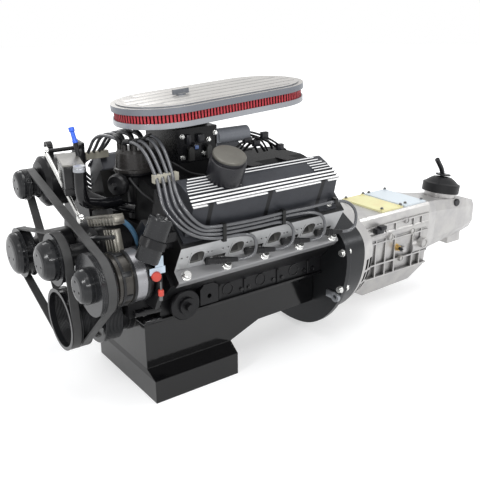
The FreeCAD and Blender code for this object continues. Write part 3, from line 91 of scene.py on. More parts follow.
def set_light():
    """White where the camera, a reflection or glass looks out, soft grey light elsewhere, and five lamps."""
    bpy.context.scene.view_settings.view_transform = "Standard"
    world = bpy.data.worlds.new("Studio")
    bpy.context.scene.world = world
    world.use_nodes = True
    nodes, links = world.node_tree.nodes, world.node_tree.links
    nodes.clear()
    out = nodes.new("ShaderNodeOutputWorld")
    seen, soft = nodes.new("ShaderNodeBackground"), nodes.new("ShaderNodeBackground")
    seen.inputs["Color"].default_value = (1, 1, 1, 1)
    soft.inputs["Color"].default_value = (0.95, 0.97, 1, 1)
    soft.inputs["Strength"].default_value = 0.55
    path = nodes.new("ShaderNodeLightPath").outputs
    seen_straight = maths(nodes, links, "MAXIMUM", path["Is Camera Ray"], path["Is Transmission Ray"])
    mix = nodes.new("ShaderNodeMixShader")
    links.new(maths(nodes, links, "MAXIMUM", seen_straight, path["Is Glossy Ray"]), mix.inputs[0])
    links.new(soft.outputs[0], mix.inputs[1])
    links.new(seen.outputs[0], mix.inputs[2])
    links.new(mix.outputs[0], out.inputs[0])
    aim = Vector((0.35, 0, 0.3))
    lamps = (("TopSoftbox", (0.2, -0.4, 2.7), (0.9, 2.2), 30),
             ("FrontStrip", (-1.7, -0.7, 1.5), (0.1, 1.5), 20),
             ("SideStrip", (-0.1, -2.2, 1.3), (1.8, 0.1), 20),
             ("RearSoftbox", (2.4, -1.5, 1.7), (0.5, 0.5), 9),
             ("FarSoftbox", (0.3, 2.2, 2.0), (1.5, 1.0), 16))
    for name, spot, size, power in lamps:
        data = bpy.data.lights.new(name, "AREA")
        data.shape = "RECTANGLE"
        data.size, data.size_y = size
        data.energy = power
        lamp = bpy.data.objects.new(name, data)
        lamp.location = spot
        lamp.rotation_euler = (aim - Vector(spot)).to_track_quat("-Z", "Y").to_euler()
        bpy.context.scene.collection.objects.link(lamp)


def lay_floor():
    """A pale floor that takes shadows near the engine and fades to white further away."""
    shape = bmesh.new()
    bmesh.ops.create_circle(shape, cap_ends=True, segments=96, radius=14)
    mesh = bpy.data.meshes.new("Floor")
    shape.to_mesh(mesh)
    shape.free()
    floor = bpy.data.objects.new("Floor", mesh)
    bpy.context.scene.collection.objects.link(floor)
    material = bpy.data.materials.new("PaleFloor")
    material.use_nodes = True
    nodes, links = material.node_tree.nodes, material.node_tree.links
    surface = nodes["Principled BSDF"]
    surface.inputs["Base Color"].default_value = (0.6, 0.6, 0.6, 1)
    surface.inputs["Roughness"].default_value = 0.9
    surface.inputs["Specular IOR Level"].default_value = 0.1
    glow, both = nodes.new("ShaderNodeEmission"), nodes.new("ShaderNodeAddShader")
    glow.inputs["Color"].default_value = (0.5, 0.5, 0.5, 1)
    path = nodes.new("ShaderNodeLightPath").outputs
    seen = maths(nodes, links, "MAXIMUM", path["Is Camera Ray"], path["Is Glossy Ray"])
    away, far = nodes.new("ShaderNodeVectorMath"), nodes.new("ShaderNodeMapRange")
    away.operation = "LENGTH"
    far.inputs["From Min"].default_value, far.inputs["From Max"].default_value = 0.9, 2.4
    far.inputs["To Min"].default_value, far.inputs["To Max"].default_value = 1.0, 2.0
    links.new(nodes.new("ShaderNodeTexCoord").outputs["Object"], away.inputs[0])
    links.new(away.outputs["Value"], far.inputs["Value"])
    links.new(maths(nodes, links, "MULTIPLY", seen, far.outputs[0]), glow.inputs["Strength"])
    links.new(surface.outputs[0], both.inputs[0])
    links.new(glow.outputs[0], both.inputs[1])
    links.new(both.outputs[0], nodes["Material Output"].inputs["Surface"])
    mesh.materials.append(material)


def at(x, y, z):
    """A point given in millimetres from the block's front face, centre line and crank line."""
    return Vector((x, y, z)) * MM + Vector((0, 0, CRANK_HEIGHT))


def on_bank(side, x, up, across):
    """A point of one cylinder bank: up along the bores, across towards the exhaust side."""
    return at(x, side * (up + across) * ROOT_HALF, (up - across) * ROOT_HALF)


def stagger(side):
    """How far forward of the left bank's bores the bank on a side stands, in millimetres."""
    return 0 if side < 0 else BANK_SHIFT


class Finish:
    """One finish: its node tree starts as paint or metal with grain, mottling and rounded edges, and, where
    shade is given, painted shade in hollows.
    """

    def __init__(self, name, slot, colour, roughness, metallic=0.0, other=None, patch=40, grain=900,
                 relief=0.15, depth=0.0004, edge=0.0012, shade=0.0, sheen=0.5):
        self.slot = slot
        self.material = bpy.data.materials.new(name)
        self.material.use_nodes = True
        self.nodes, self.links = self.material.node_tree.nodes, self.material.node_tree.links
        self.surface = self.nodes["Principled BSDF"]
        self.surface.inputs["Metallic"].default_value = metallic
        self.surface.inputs["Specular IOR Level"].default_value = sheen
        self.where = self.nodes.new("ShaderNodeTexCoord").outputs["Object"]
        other = other or tuple(0.85 * part for part in colour)
        mottle = self.noise(patch, detail=5)
        self.colour = self.blend(self.ramp(mottle, 0.3, 0.75), colour, other)
        # Painted shade: where ambient occlusion finds hollows, the colour darkens towards a tenth of itself.
        if shade:
            hollow = self.nodes.new("ShaderNodeAmbientOcclusion")
            hollow.samples = 4
            hollow.only_local = True
            hollow.inputs["Distance"].default_value = 0.03
            hollow_shade = self.ramp(hollow.outputs["AO"], 0.85, 0.25)
            strength = self.sum("MULTIPLY", hollow_shade, shade)
            self.colour = self.blend(strength, self.colour, tuple(0.1 * part for part in colour))
        self.links.new(self.colour, self.surface.inputs["Base Color"])
        gloss = self.nodes.new("ShaderNodeMapRange")
        gloss.inputs["To Min"].default_value = max(0.03, roughness - 0.08)
        gloss.inputs["To Max"].default_value = min(1.0, roughness + 0.1)
        self.links.new(self.noise(patch * 4, detail=4), gloss.inputs["Value"])
        self.links.new(gloss.outputs[0], self.surface.inputs["Roughness"])
        self.bump = self.nodes.new("ShaderNodeBump")
        self.bump.inputs["Strength"].default_value = relief
        self.bump.inputs["Distance"].default_value = depth
        self.links.new(self.noise(grain, detail=3), self.bump.inputs["Height"])
        if edge:
            round_edge = self.nodes.new("ShaderNodeBevel")
            round_edge.samples = 4
            round_edge.inputs["Radius"].default_value = edge
            self.links.new(round_edge.outputs[0], self.bump.inputs["Normal"])
        self.links.new(self.bump.outputs[0], self.surface.inputs["Normal"])

    def plug(self, socket, value):
        """Links a socket to another one, or sets its value."""
        if isinstance(value, bpy.types.NodeSocket):
            self.links.new(value, socket)
        elif isinstance(value, tuple):
            socket.default_value = (*value, 1) if len(value) == 3 and socket.type == "RGBA" else value
        else:
            socket.default_value = value

    def noise(self, scale, detail):
        node = self.nodes.new("ShaderNodeTexNoise")
        node.inputs["Scale"].default_value = scale
        node.inputs["Detail"].default_value = detail
        self.links.new(self.where, node.inputs["Vector"])
        return node.outputs["Fac"]

    def ramp(self, value, low, high):
        """A smooth step from nought at the low value to one at the high one."""
        node = self.nodes.new("ShaderNodeMapRange")
        node.interpolation_type = "SMOOTHSTEP"
        node.inputs["From Min"].default_value = low
        node.inputs["From Max"].default_value = high
        self.links.new(value, node.inputs["Value"])
        return node.outputs[0]

    def sum(self, how, one, two=0.0):
        node = self.nodes.new("ShaderNodeMath")
        node.operation = how
        self.plug(node.inputs[0], one)
        self.plug(node.inputs[1], two)
        return node.outputs[0]

    def along(self, direction, start=(0, 0, 0)):
        """How far a point lies along a direction from a start point, in metres."""
        away = self.nodes.new("ShaderNodeVectorMath")
        away.operation = "SUBTRACT"
        self.links.new(self.where, away.inputs[0])
        away.inputs[1].default_value = start
        node = self.nodes.new("ShaderNodeVectorMath")
        node.operation = "DOT_PRODUCT"
        self.links.new(away.outputs[0], node.inputs[0])
        node.inputs[1].default_value = direction
        return node.outputs["Value"]

    def blend(self, amount, one, two):
        node = self.nodes.new("ShaderNodeMix")
        node.data_type = "RGBA"
        self.plug(node.inputs[0], amount)
        self.plug(node.inputs[6], one)
        self.plug(node.inputs[7], two)
        return node.outputs[2]

    def beyond(self, value, limit, soft=0.0004):
        """One where a value is past a limit, nought before it."""
        return self.ramp(value, limit - soft, limit + soft)

    def before(self, value, limit, soft=0.0004):
        """One where a value is short of a limit, nought past it."""
        return self.sum("SUBTRACT", 1.0, self.beyond(value, limit, soft))

    def bank_ways(self):
        """Height over the crank, distance off the middle plane, and the way up along the bores."""
        high = self.along((0, 0, 1), (0, 0, CRANK_HEIGHT))
        wide = self.sum("ABSOLUTE", self.along((0, 1, 0)))
        return high, wide, self.sum("MULTIPLY", self.sum("ADD", wide, high), ROOT_HALF)

    def facing(self, direction, limit=0.7):
        """One on faces that look along a direction."""
        look = self.nodes.new("ShaderNodeNewGeometry")
        node = self.nodes.new("ShaderNodeVectorMath")
        node.operation = "DOT_PRODUCT"
        self.links.new(look.outputs["True Normal"], node.inputs[0])
        node.inputs[1].default_value = direction
        return self.ramp(node.outputs["Value"], limit - 0.05, limit + 0.05)

    def grooves(self, direction, pitch, depth, start):
        """Turned grooves across a direction, pressed into the relief past a start."""
        way = self.along(direction)
        wave = self.sum("SINE", self.sum("MULTIPLY", way, 2 * math.pi / pitch))
        wave = self.sum("MULTIPLY", wave, self.beyond(way, start))
        ridged = self.nodes.new("ShaderNodeBump")
        ridged.inputs["Strength"].default_value = 1
        ridged.inputs["Distance"].default_value = depth
        self.links.new(wave, ridged.inputs["Height"])
        self.links.new(self.bump.outputs[0], ridged.inputs["Normal"])
        self.links.new(ridged.outputs[0], self.surface.inputs["Normal"])

    def recolour(self, amount, colour):
        """Lays another colour over the finish as far as an amount says."""
        self.colour = self.blend(amount, self.colour, colour)
        self.links.new(self.colour, self.surface.inputs["Base Color"])

    def colour_past(self, way, station, colour):
        """Another colour past a station along a way."""
        self.recolour(self.beyond(self.along(way), station), colour)

    def colour_before(self, way, station, colour):
        """Another colour short of a station along a way."""
        self.recolour(self.before(self.along(way), station), colour)


set_camera()
set_light()
lay_floor()

cast_black = Finish("CastBlack", "black_paint", (0.009, 0.009, 0.01), 0.3, relief=0.5, grain=420, sheen=0.22)
pan_black = Finish("PanBlack", "black_paint", (0.004, 0.004, 0.0045), 0.1, relief=0.14, grain=26, depth=0.002,
                   edge=0.004, sheen=0.4)
gloss_black = Finish("GlossBlack", "black_paint", (0.005, 0.005, 0.006), 0.12, relief=0.05, sheen=0.35)
satin_black = Finish("SatinBlack", "black_paint", (0.014, 0.0145, 0.016), 0.3, relief=0.2, sheen=0.25)
pulley_black = Finish("PulleyBlack", "pulley_paint", (0.015, 0.0155, 0.017), 0.15, relief=0.03, sheen=0.3)
charcoal = Finish("CoverCharcoal", "cover_paint", (0.04, 0.042, 0.049), 0.38, metallic=0.25, relief=0.4,
                  grain=700, sheen=0.25)
cast_head = Finish("CastHead", "cast_aluminium", (0.5, 0.505, 0.51), 0.4, metallic=0.45, patch=18, relief=0.4,
                   grain=450, shade=0.6)
cast_case, bell_case = (
    Finish(name, "cast_aluminium", (0.5, 0.49, 0.475), 0.32, metallic=0.6, other=(0.42, 0.41, 0.41), patch=26,
           relief=0.4, grain=260, depth=0.0008, shade=1.0) for name in ("CastCase", "BellCase"))
steel = Finish("MachinedSteel", "machined_steel", (0.5, 0.5, 0.49), 0.3, metallic=1.0, grain=1200)
zinc = Finish("BrightZinc", "bright_zinc", (0.78, 0.78, 0.76), 0.22, metallic=0.9, patch=120)
lid_silver = Finish("LidSilver", "lid_silver", (0.43, 0.415, 0.395), 0.38, metallic=0.6, patch=8,
                    relief=0.03, edge=0)
base_silver = Finish("BaseSilver", "lid_silver", (0.3, 0.31, 0.33), 0.3, metallic=0.8, patch=8, relief=0.03)
filter_red = Finish("FilterRed", "filter_red", (0.5, 0.045, 0.06), 0.6, other=(0.36, 0.02, 0.03), patch=300,
                    edge=0)
# Painted shade: a near-black red for the shaded gaps between the filter's pleats.
filter_gap_shade = Finish("FilterGapShade", "filter_red", (0.03, 0.004, 0.005), 0.7, edge=0)
rubber = Finish("BlackRubber", "black_rubber", (0.011, 0.011, 0.012), 0.4, relief=0.3, sheen=0.22)
belt_rubber = Finish("BeltRubber", "black_rubber", (0.06, 0.06, 0.06), 0.5, relief=0.4, sheen=0.2)
wire_grey = Finish("WireGrey", "wire_grey", (0.085, 0.087, 0.094), 0.16, other=(0.065, 0.067, 0.073), edge=0,
                   sheen=0.75)
plastic = Finish("DarkPlastic", "dark_plastic", (0.012, 0.012, 0.015), 0.3, sheen=0.35)
loom_black = Finish("LoomBlack", "dark_plastic", (0.008, 0.008, 0.008), 0.35, sheen=0.25)
coil_grey = Finish("CoilGrey", "dark_plastic", (0.017, 0.0175, 0.019), 0.24, relief=0.05, sheen=0.3)
tank_black = Finish("TankBlack", "dark_plastic", (0.009, 0.009, 0.01), 0.2, sheen=0.3)
cap_brown = Finish("CapBrown", "dark_plastic", (0.024, 0.022, 0.021), 0.26, sheen=0.35)
compressor_grey = Finish("CompressorSilver", "compressor_silver", (0.3, 0.3, 0.315), 0.28, metallic=0.75,
                         other=(0.25, 0.25, 0.26), patch=8, relief=0.03)
cover_yellow = Finish("CoverYellow", "cover_yellow", (0.78, 0.76, 0.42), 0.45, metallic=0.1,
                      other=(0.74, 0.66, 0.36), patch=20)
throttle_black = Finish("ThrottleBlack", "black_paint", (0.006, 0.006, 0.007), 0.25, relief=0.05, sheen=0.2)
fin_bright = Finish("FinBright", "bright_zinc", (0.85, 0.85, 0.85), 0.3, metallic=0.6, patch=150, edge=0)
shaft_dull = Finish("ShaftDull", "bright_zinc", (0.045, 0.045, 0.045), 0.4, metallic=0.7)
bracket_alloy = Finish("BracketAlloy", "cast_aluminium", (0.2, 0.19, 0.165), 0.34, metallic=0.6, grain=300,
                       relief=0.5, shade=0.7)
hose_blue = Finish("HoseBlue", "black_rubber", (0.07, 0.16, 0.26), 0.3)
cap_red = Finish("CapRed", "dark_plastic", (0.55, 0.06, 0.04), 0.35)
plug_blue = Finish("PlugBlue", "dark_plastic", (0.02, 0.12, 0.75), 0.35)
zinc_dull = Finish("DullZinc", "bright_zinc", (0.16, 0.16, 0.16), 0.3, metallic=0.8)
# Painted shade: a darker copy of the head's cast metal for the port throats.
port_shade = Finish("PortShade", "cast_aluminium", (0.11, 0.108, 0.102), 0.6, relief=0.1, edge=0)
brass = Finish("PlugBrass", "machined_steel", (0.55, 0.36, 0.12), 0.3, metallic=0.9)
intake_black = Finish("IntakeBlack", "black_paint", (0.006, 0.006, 0.0065), 0.5, relief=0.3, grain=420,
                      sheen=0.1)
tank_top = Finish("TankTop", "lid_silver", (0.15, 0.145, 0.135), 0.4, metallic=0.6)
cap_top = Finish("CapTop", "dark_plastic", (0.11, 0.105, 0.09), 0.4, metallic=0.3)
plug_pale = Finish("PlugPale", "dark_plastic", (0.09, 0.14, 0.3), 0.35)
tag_pale = Finish("TagPale", "dark_plastic", (0.55, 0.66, 0.76), 0.4)


def paint_covers():
    """Bright tops on the covers' fins, past the crowned top, and painted shade darkening the bolt pockets in
    their walls.
    """
    crown_start, crown_slope, fin_line, wall_top, wall_line = 0.0631, 0.371, 0.3862, 0.3835, 0.041
    high, wide, up = charcoal.bank_ways()
    inward = charcoal.sum("MULTIPLY", charcoal.sum("SUBTRACT", high, wide), ROOT_HALF)
    past = charcoal.sum("MAXIMUM", charcoal.sum("SUBTRACT", inward, crown_start), 0.0)
    crown = charcoal.sum("MULTIPLY", past, crown_slope)
    charcoal.recolour(charcoal.beyond(charcoal.sum("ADD", up, crown), fin_line), (0.85, 0.85, 0.85))
    along = charcoal.along((1, 0, 0))
    # Painted shade: the bolt pockets' recesses are coloured near black.
    for spot in POCKETS:
        near = charcoal.sum("ABSOLUTE", charcoal.sum("SUBTRACT", along, spot * MM))
        pocket_shade = charcoal.sum("MULTIPLY", charcoal.before(near, 0.006, 0.0015), charcoal.before(up, wall_top))
        pocket_shade = charcoal.sum("MULTIPLY", pocket_shade, charcoal.before(inward, wall_line))
        charcoal.recolour(pocket_shade, (0.008, 0.008, 0.009))


def paint_heads():
    """A darker grey ledge as painted shade, painted shade on the port walls sunk behind the exhaust face, and
    black rocker side and front end.
    """
    ledge_line, port_foot, rocker_line = 0.2345, 0.234, 0.3035
    face_slope, face_offset, sink = 0.331, 0.119, 0.0025
    high, wide, up = cast_head.bank_ways()
    # Painted shade: the lower ledge is coloured a darker grey than the exhaust face.
    cast_head.recolour(cast_head.before(up, ledge_line), (0.26, 0.26, 0.265))
    # Painted shade: the casting sunk behind the exhaust face, above the port foot, is coloured near black.
    across = cast_head.sum("MULTIPLY", cast_head.sum("SUBTRACT", wide, high), ROOT_HALF)
    face_line = cast_head.sum("ADD", across, cast_head.sum("MULTIPLY", up, face_slope))
    sunk_shade = cast_head.before(face_line, face_offset - sink, 0.001)
    sunk_shade = cast_head.sum("MULTIPLY", sunk_shade, cast_head.beyond(up, port_foot))
    cast_head.recolour(sunk_shade, (0.035, 0.034, 0.033))
    cast_head.recolour(cast_head.beyond(up, rocker_line), (0.012, 0.012, 0.013))
    cast_head.recolour(cast_head.facing((-1, 0, 0)), (0.02, 0.02, 0.021))


def paint_rest():
    """Pieces in two tones, where the colour changes at a station along the engine or at a height, and painted
    shade on the lid's faces that slope off the top.
    """
    rear, up = (1, 0, 0), (0, 0, 1)
    bell_front, second_cover, comb_foot, throttle_rear = 0.6045, 0.897, 0.53, 0.2085
    clutch_end, rear_plate, port_block = -0.096, -0.068, -0.0495
    bell_case.colour_before(rear, bell_front, (0.022, 0.023, 0.025))
    # Painted shade: the lid's sloped and side faces are coloured darker and bluer than its top.
    sloped_shade = lid_silver.sum("SUBTRACT", 1.0, lid_silver.facing(up, 0.5))
    lid_silver.recolour(sloped_shade, (0.16, 0.17, 0.19))
    cover_yellow.colour_past(rear, second_cover, (0.66, 0.72, 0.76))
    compressor_grey.colour_before(rear, clutch_end, (0.05, 0.047, 0.043))
    compressor_grey.colour_past(rear, rear_plate, (0.01, 0.01, 0.011))
    compressor_grey.colour_past(rear, port_block, (0.55, 0.06, 0.04))
    loom_black.colour_past(up, comb_foot, (0.42, 0.4, 0.33))
    throttle_black.colour_past(rear, throttle_rear, (0.2, 0.21, 0.23))
    pulley_black.grooves(rear, 3.6 * MM, 0.0006, -0.1805)


paint_covers()
paint_heads()
paint_rest()

WORN_BY = {
    cast_black: ["engine_block", "main_caps", "timing_cover", "water_pump", "compressor_bracket",
                 "alternator_bracket", "mount_brackets", "oil_filter_adapter", "steering_pump", "alternator",
                 "distributor_housing"],
    intake_black: ["intake_manifold"],
    pan_black: ["oil_pan"],
    gloss_black: ["coolant_pipe"],
    throttle_black: ["throttle_body"],
    pulley_black: ["crank_pulley", "pump_pulley", "compressor_pulley", "steering_pulley",
                   "alternator_pulley"],
    charcoal: ["valve_cover_left", "valve_cover_right"],
    cast_head: ["cylinder_head_left", "cylinder_head_right"],
    cast_case: ["gearbox_case", "tail_housing", "tail_mount"],
    bell_case: ["bellhousing"],
    steel: ["crankshaft", "pistons", "camshaft", "timing_chain", "flywheel", "input_shaft", "output_shaft"],
    shaft_dull: ["throttle_shaft_front", "throttle_shaft_rear"],
    zinc: ["head_bolts", "cover_bolts", "bell_bolts", "spark_plugs", "adjuster_rod"],
    lid_silver: ["air_cleaner_lid"],
    base_silver: ["air_cleaner_base"],
    filter_red: ["air_filter"],
    rubber: ["plug_boots", "shifter_boot"],
    belt_rubber: ["front_belt", "rear_belt"],
    plastic: ["filler_cap", "distributor_rotor"],
    loom_black: ["wire_looms"],
    coil_grey: ["ignition_coil"],
    tank_black: ["steering_reservoir"],
    cap_brown: ["distributor_cap"],
    compressor_grey: ["ac_compressor"],
    cover_yellow: ["gearbox_covers"],
    wire_grey: ["plug_wires"],
    satin_black: ["shift_lever"],
}
for finish, names in WORN_BY.items():
    for name in names:
        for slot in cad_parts[name].material_slots:
            slot.material = finish.material


def settle(name, shape, finish, body="block", limit=35, merge=0.0):
    """Turns a bmesh into a piece that rides on a body, smooth but for its real edges."""
    if merge:
        bmesh.ops.remove_doubles(shape, verts=shape.verts, dist=merge)
    bmesh.ops.recalc_face_normals(shape, faces=shape.faces)
    for face in shape.faces:
        face.smooth = True
    for edge in shape.edges:
        edge.smooth = len(edge.link_faces) == 2 and edge.calc_face_angle() < math.radians(limit)
    mesh = bpy.data.meshes.new(name)
    shape.to_mesh(mesh)
    shape.free()
    mesh.materials.append(finish.material)
    item = bpy.data.objects.new(name, mesh)
    bpy.context.scene.collection.objects.link(item)
    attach(item, body)
    return item


def bar(shape, low, high, turn=None, bevel=0.0):
    """A block between two corners in metres, with its edges broken."""
    low, high = Vector(low), Vector(high)
    made = bmesh.ops.create_cube(shape, size=1)["verts"]
    bmesh.ops.scale(shape, vec=high - low, verts=made)
    bmesh.ops.translate(shape, vec=(low + high) / 2, verts=made)
    if bevel:
        edges = list({edge for vert in made for edge in vert.link_edges})
        made = bmesh.ops.bevel(shape, geom=edges, offset=bevel, segments=2, affect="EDGES", profile=0.5,
                               material=-1)["verts"]
        made = list(set(made))
    if turn is not None:
        bmesh.ops.transform(shape, matrix=turn, verts=made)


def turned(shape, profile, start, way, steps=40):
    """Spins a profile of (along, radius) pairs, in metres, about a way through a start point."""
    start, way = Vector(start), Vector(way).normalized()
    side = way.orthogonal().normalized()
    verts = [shape.verts.new(start + way * along + side * radius) for along, radius in profile]
    edges = [shape.edges.new(pair) for pair in zip(verts, verts[1:])]
    bmesh.ops.spin(shape, geom=verts + edges, cent=start, axis=way, angle=2 * math.pi, steps=steps,
                   use_merge=True)


def stud(shape, spot, way, radius, height):
    """A bolt head with a washer under it and a shallow dish on top."""
    turned(shape, [(0, 0), (0, radius * 1.35), (height * 0.22, radius * 1.35), (height * 0.24, radius),
                   (height, radius * 0.96), (height, radius * 0.6), (height * 0.85, radius * 0.5),
                   (height * 0.85, 0)], spot, way, steps=12)


def smooth_wire(name, points, radius, finish, body="block", resolution=10):
    """A flexible lead on one smooth spline whose control points are the route's points."""
    data = bpy.data.curves.new(name, "CURVE")
    data.dimensions = "3D"
    data.bevel_depth = radius
    data.bevel_resolution = 4
    data.resolution_u = resolution
    data.use_fill_caps = True
    line = data.splines.new("NURBS")
    line.points.add(len(points) - 1)
    for spot, point in zip(line.points, points):
        spot.co = (*point, 1)
    line.order_u = 3
    line.use_endpoint_u = True
    data.materials.append(finish.material)
    item = bpy.data.objects.new(name, data)
    bpy.context.scene.collection.objects.link(item)
    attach(item, body)
    return item


WIRE_ROUTES = [
    [(52.6, -11.9, 397.3), (52.6, -12.9, 414), (46.8, -92, 418), (38, -158, 351), (11, -210, 330),
     (12, -248, 291), (50, -247, 250), (84, -237.5, 236.6), (204, -234.1, 230.5), (290, -235.5, 232.6),
     (375, -234.1, 229.8), (459, -235.5, 232.6), (507.2, -234.1, 222.7), (540.2, -236.2, 188.1),
     (528.2, -238.3, 135.1), (488.75, -223.4, 141.2)],
    [(35.9, -28.6, 397.3), (35.9, -29.6, 412), (31.1, -95, 414), (26.3, -160, 346), (5, -207, 321),
     (3, -236, 288), (39, -245, 246), (84, -235.7, 227.1), (204, -232.3, 221), (290, -233.7, 223.1),
     (400, -234.1, 217.1), (430, -238.3, 184.6), (416, -238.3, 135.1), (377.5, -223.4, 141.2)],
    [(12.1, -28.6, 397.3), (12.1, -29.6, 410), (11.9, -98, 411), (11.6, -160, 346), (-6, -202, 318),
     (-6, -224, 285), (28, -243, 242), (84, -235.7, 217.2), (204, -232.3, 211.1), (303.2, -234.4, 212.5),
     (326.8, -238.3, 181.7), (313.8, -236.9, 135.1), (266.25, -223.4, 141.2)],
    [(-4.6, -11.9, 397.3), (-4.6, -12.9, 408), (-3.8, -101, 409), (-3.1, -160, 346), (-17, -197, 315),
     (-15, -212, 282), (17, -241, 238), (84, -236.1, 207.6), (192, -234.8, 202.9), (213.5, -236.2, 176.8),
     (200.5, -236.9, 135.1), (155, -223.4, 141.2)],
]
# The first points of a route stand on the distributor's cap, which has no left and right bank.
CAP_POINTS = 2


def plug_leads():
    """Eight leads from the distributor's cap, over the comb and along the looms, to the plugs."""
    leads = []
    for side, name in SIDES:
        for k, route in enumerate(WIRE_ROUTES):
            points = [at(x - (stagger(side) if n >= CAP_POINTS else 0), -y * side, z)
                      for n, (x, y, z) in enumerate(route)]
            leads.append(smooth_wire(f"plug_lead_{name}_{k + 1}", points, WIRE_DIAMETER / 2, wire_grey))
    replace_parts(leads[0], "plug_wires")


def cleaner_turn():
    """The place and tilt of the air cleaner."""
    return Matrix.Translation(CLEANER_CENTRE) @ Matrix.Rotation(-CLEANER_TILT, 4, "Y")


def oval(half_long, half_wide, way):
    """The point and the outward way at a share of the path round an oval."""
    straight = half_long - half_wide
    way *= 4 * straight + 2 * math.pi * half_wide
    if way < 2 * straight:
        return Vector((straight - way, half_wide, 0)), Vector((0, 1, 0))
    way -= 2 * straight
    middle, lean = -straight, math.pi / 2 + way / half_wide
    if way >= math.pi * half_wide:
        way -= math.pi * half_wide
        if way < 2 * straight:
            return Vector((way - straight, -half_wide, 0)), Vector((0, -1, 0))
        middle, lean = straight, -math.pi / 2 + (way - 2 * straight) / half_wide
    out = Vector((math.cos(lean), math.sin(lean), 0))
    return Vector((middle, 0, 0)) + out * half_wide, out


def pleated_filter():
    """The filter's folded gauze: square pleats round the oval with painted shade in the gaps, open in the
    middle.
    """
    pleats, lid_depth, gauze_height = 150, 14.5, 23
    half_long, half_wide = 255 * MM, 122 * MM
    folds = ((0, 0), (0.56, 0), (0.62, 0.008), (0.94, 0.008))
    low, high = -(lid_depth + gauze_height - 0.3) * MM, -(lid_depth - 8) * MM
    shape = bmesh.new()
    loops = []
    for folded, height in ((1, low), (1, high), (0, high), (0, low)):
        ring = []
        for k in range(pleats):
            for share, back in folds:
                spot, out = oval(half_long, half_wide, (k + share) / pleats)
                ring.append(shape.verts.new(spot - out * (back if folded else 0.03) + Vector((0, 0, height))))
        loops.append([shape.edges.new(pair) for pair in zip(ring, ring[1:] + ring[:1])])
    for one, two in zip(loops, loops[1:] + loops[:1]):
        bmesh.ops.bridge_loops(shape, edges=one + two)
    # Painted shade: every face but the pleats' outer faces takes the dark gap finish.
    for face in shape.faces:
        middle = face.calc_center_median()
        away = Vector((max(abs(middle.x) - (half_long - half_wide), 0), middle.y, 0)).length
        face.material_index = 0 if away > half_wide - 0.0015 else 1
    bmesh.ops.transform(shape, matrix=cleaner_turn(), verts=shape.verts)
    pleated = settle("pleated_filter", shape, filter_red)
    pleated.data.materials.append(filter_gap_shade.material)
    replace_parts(pleated, "air_filter")


def lid_ribs():
    """Long flat ribs with narrow grooves between them, pressed into the lid's top."""
    shape = bmesh.new()
    rim, half_rib = 0.022, 0.0165
    half_long, half_wide = CLEANER_SIZE[0] / 2 - rim, CLEANER_SIZE[1] / 2 - rim
    for k in range(-2, 3):
        across = k * 40 * MM
        edge = abs(across) + half_rib
        reach = half_long - half_wide + math.sqrt(half_wide ** 2 - edge ** 2)
        low, high = (-reach, across - half_rib, 0.0022), (reach, across + half_rib, 0.0037)
        bar(shape, low, high, cleaner_turn(), 0.001)
    settle("lid_ribs", shape, lid_silver, limit=50)


def cover_strips():
    """Machined strips along the top edge of the covers' walls, broken at the bolt pockets."""
    shape = bmesh.new()
    for side in (-1, 1):
        turn = Matrix(((1, 0, 0), (0, side * ROOT_HALF, side * ROOT_HALF),
                       (0, -ROOT_HALF, ROOT_HALF))).to_4x4()
        ends = [33] + [spot + reach for spot in POCKETS for reach in (-12, 12)] + [458]
        for start, end in zip(ends[::2], ends[1::2]):
            low = (start - stagger(side)) * MM, -36.4 * MM, 381.4 * MM
            high = (end - stagger(side)) * MM, -30.6 * MM, 384 * MM
            bar(shape, low, high, Matrix.Translation((0, 0, CRANK_HEIGHT)) @ turn, 0.0004)
    settle("cover_strips", shape, fin_bright)


surfaces = {}


def touch(node, start, way):
    """Where a line from a start point first meets a CAD node."""
    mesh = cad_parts[node].data
    if node not in surfaces:
        surfaces[node] = BVHTree.FromPolygons([vert.co for vert in mesh.vertices],
                                              [face.vertices for face in mesh.polygons])
    return surfaces[node].ray_cast(Vector(start), Vector(way).normalized())[0]


def from_left(node, x, z):
    """The point of a CAD node that is seen first from the engine's left."""
    return touch(node, at(x, -ABREAST, z), (0, 1, 0))


def studs(name, node, finish, way, spots, radius=5.5, height=5.0):
    """Bolt heads pressed on a node's surface where lines along a way meet it."""
    shape = bmesh.new()
    way = Vector(way)
    for spot in spots:
        hit = touch(node, at(*spot), way)
        if hit is not None:
            stud(shape, hit + way * 0.001, -way, radius * MM, height * MM)
    settle(name, shape, finish, limit=30, merge=MERGE)


def front_bolts():
    """Bolts round the water pump and along the timing cover's rim."""
    rearward = (1, 0, 0)
    ring = [(AHEAD, 62 * math.cos(lean), 128 + 60 * math.sin(lean))
            for lean in (0.4, 1.2, 2.0, 2.8, 3.6, 4.6, 5.8)]
    studs("pump_bolts", "water_pump", zinc_dull, rearward, ring)
    rim = [(AHEAD, y, z) for y, z in ((-88, 40), (-92, 90), (-70, 140), (88, 40), (92, 90), (70, 140),
                                      (-80, -20), (80, -20))]
    studs("timing_bolts", "timing_cover", zinc_dull, rearward, rim)


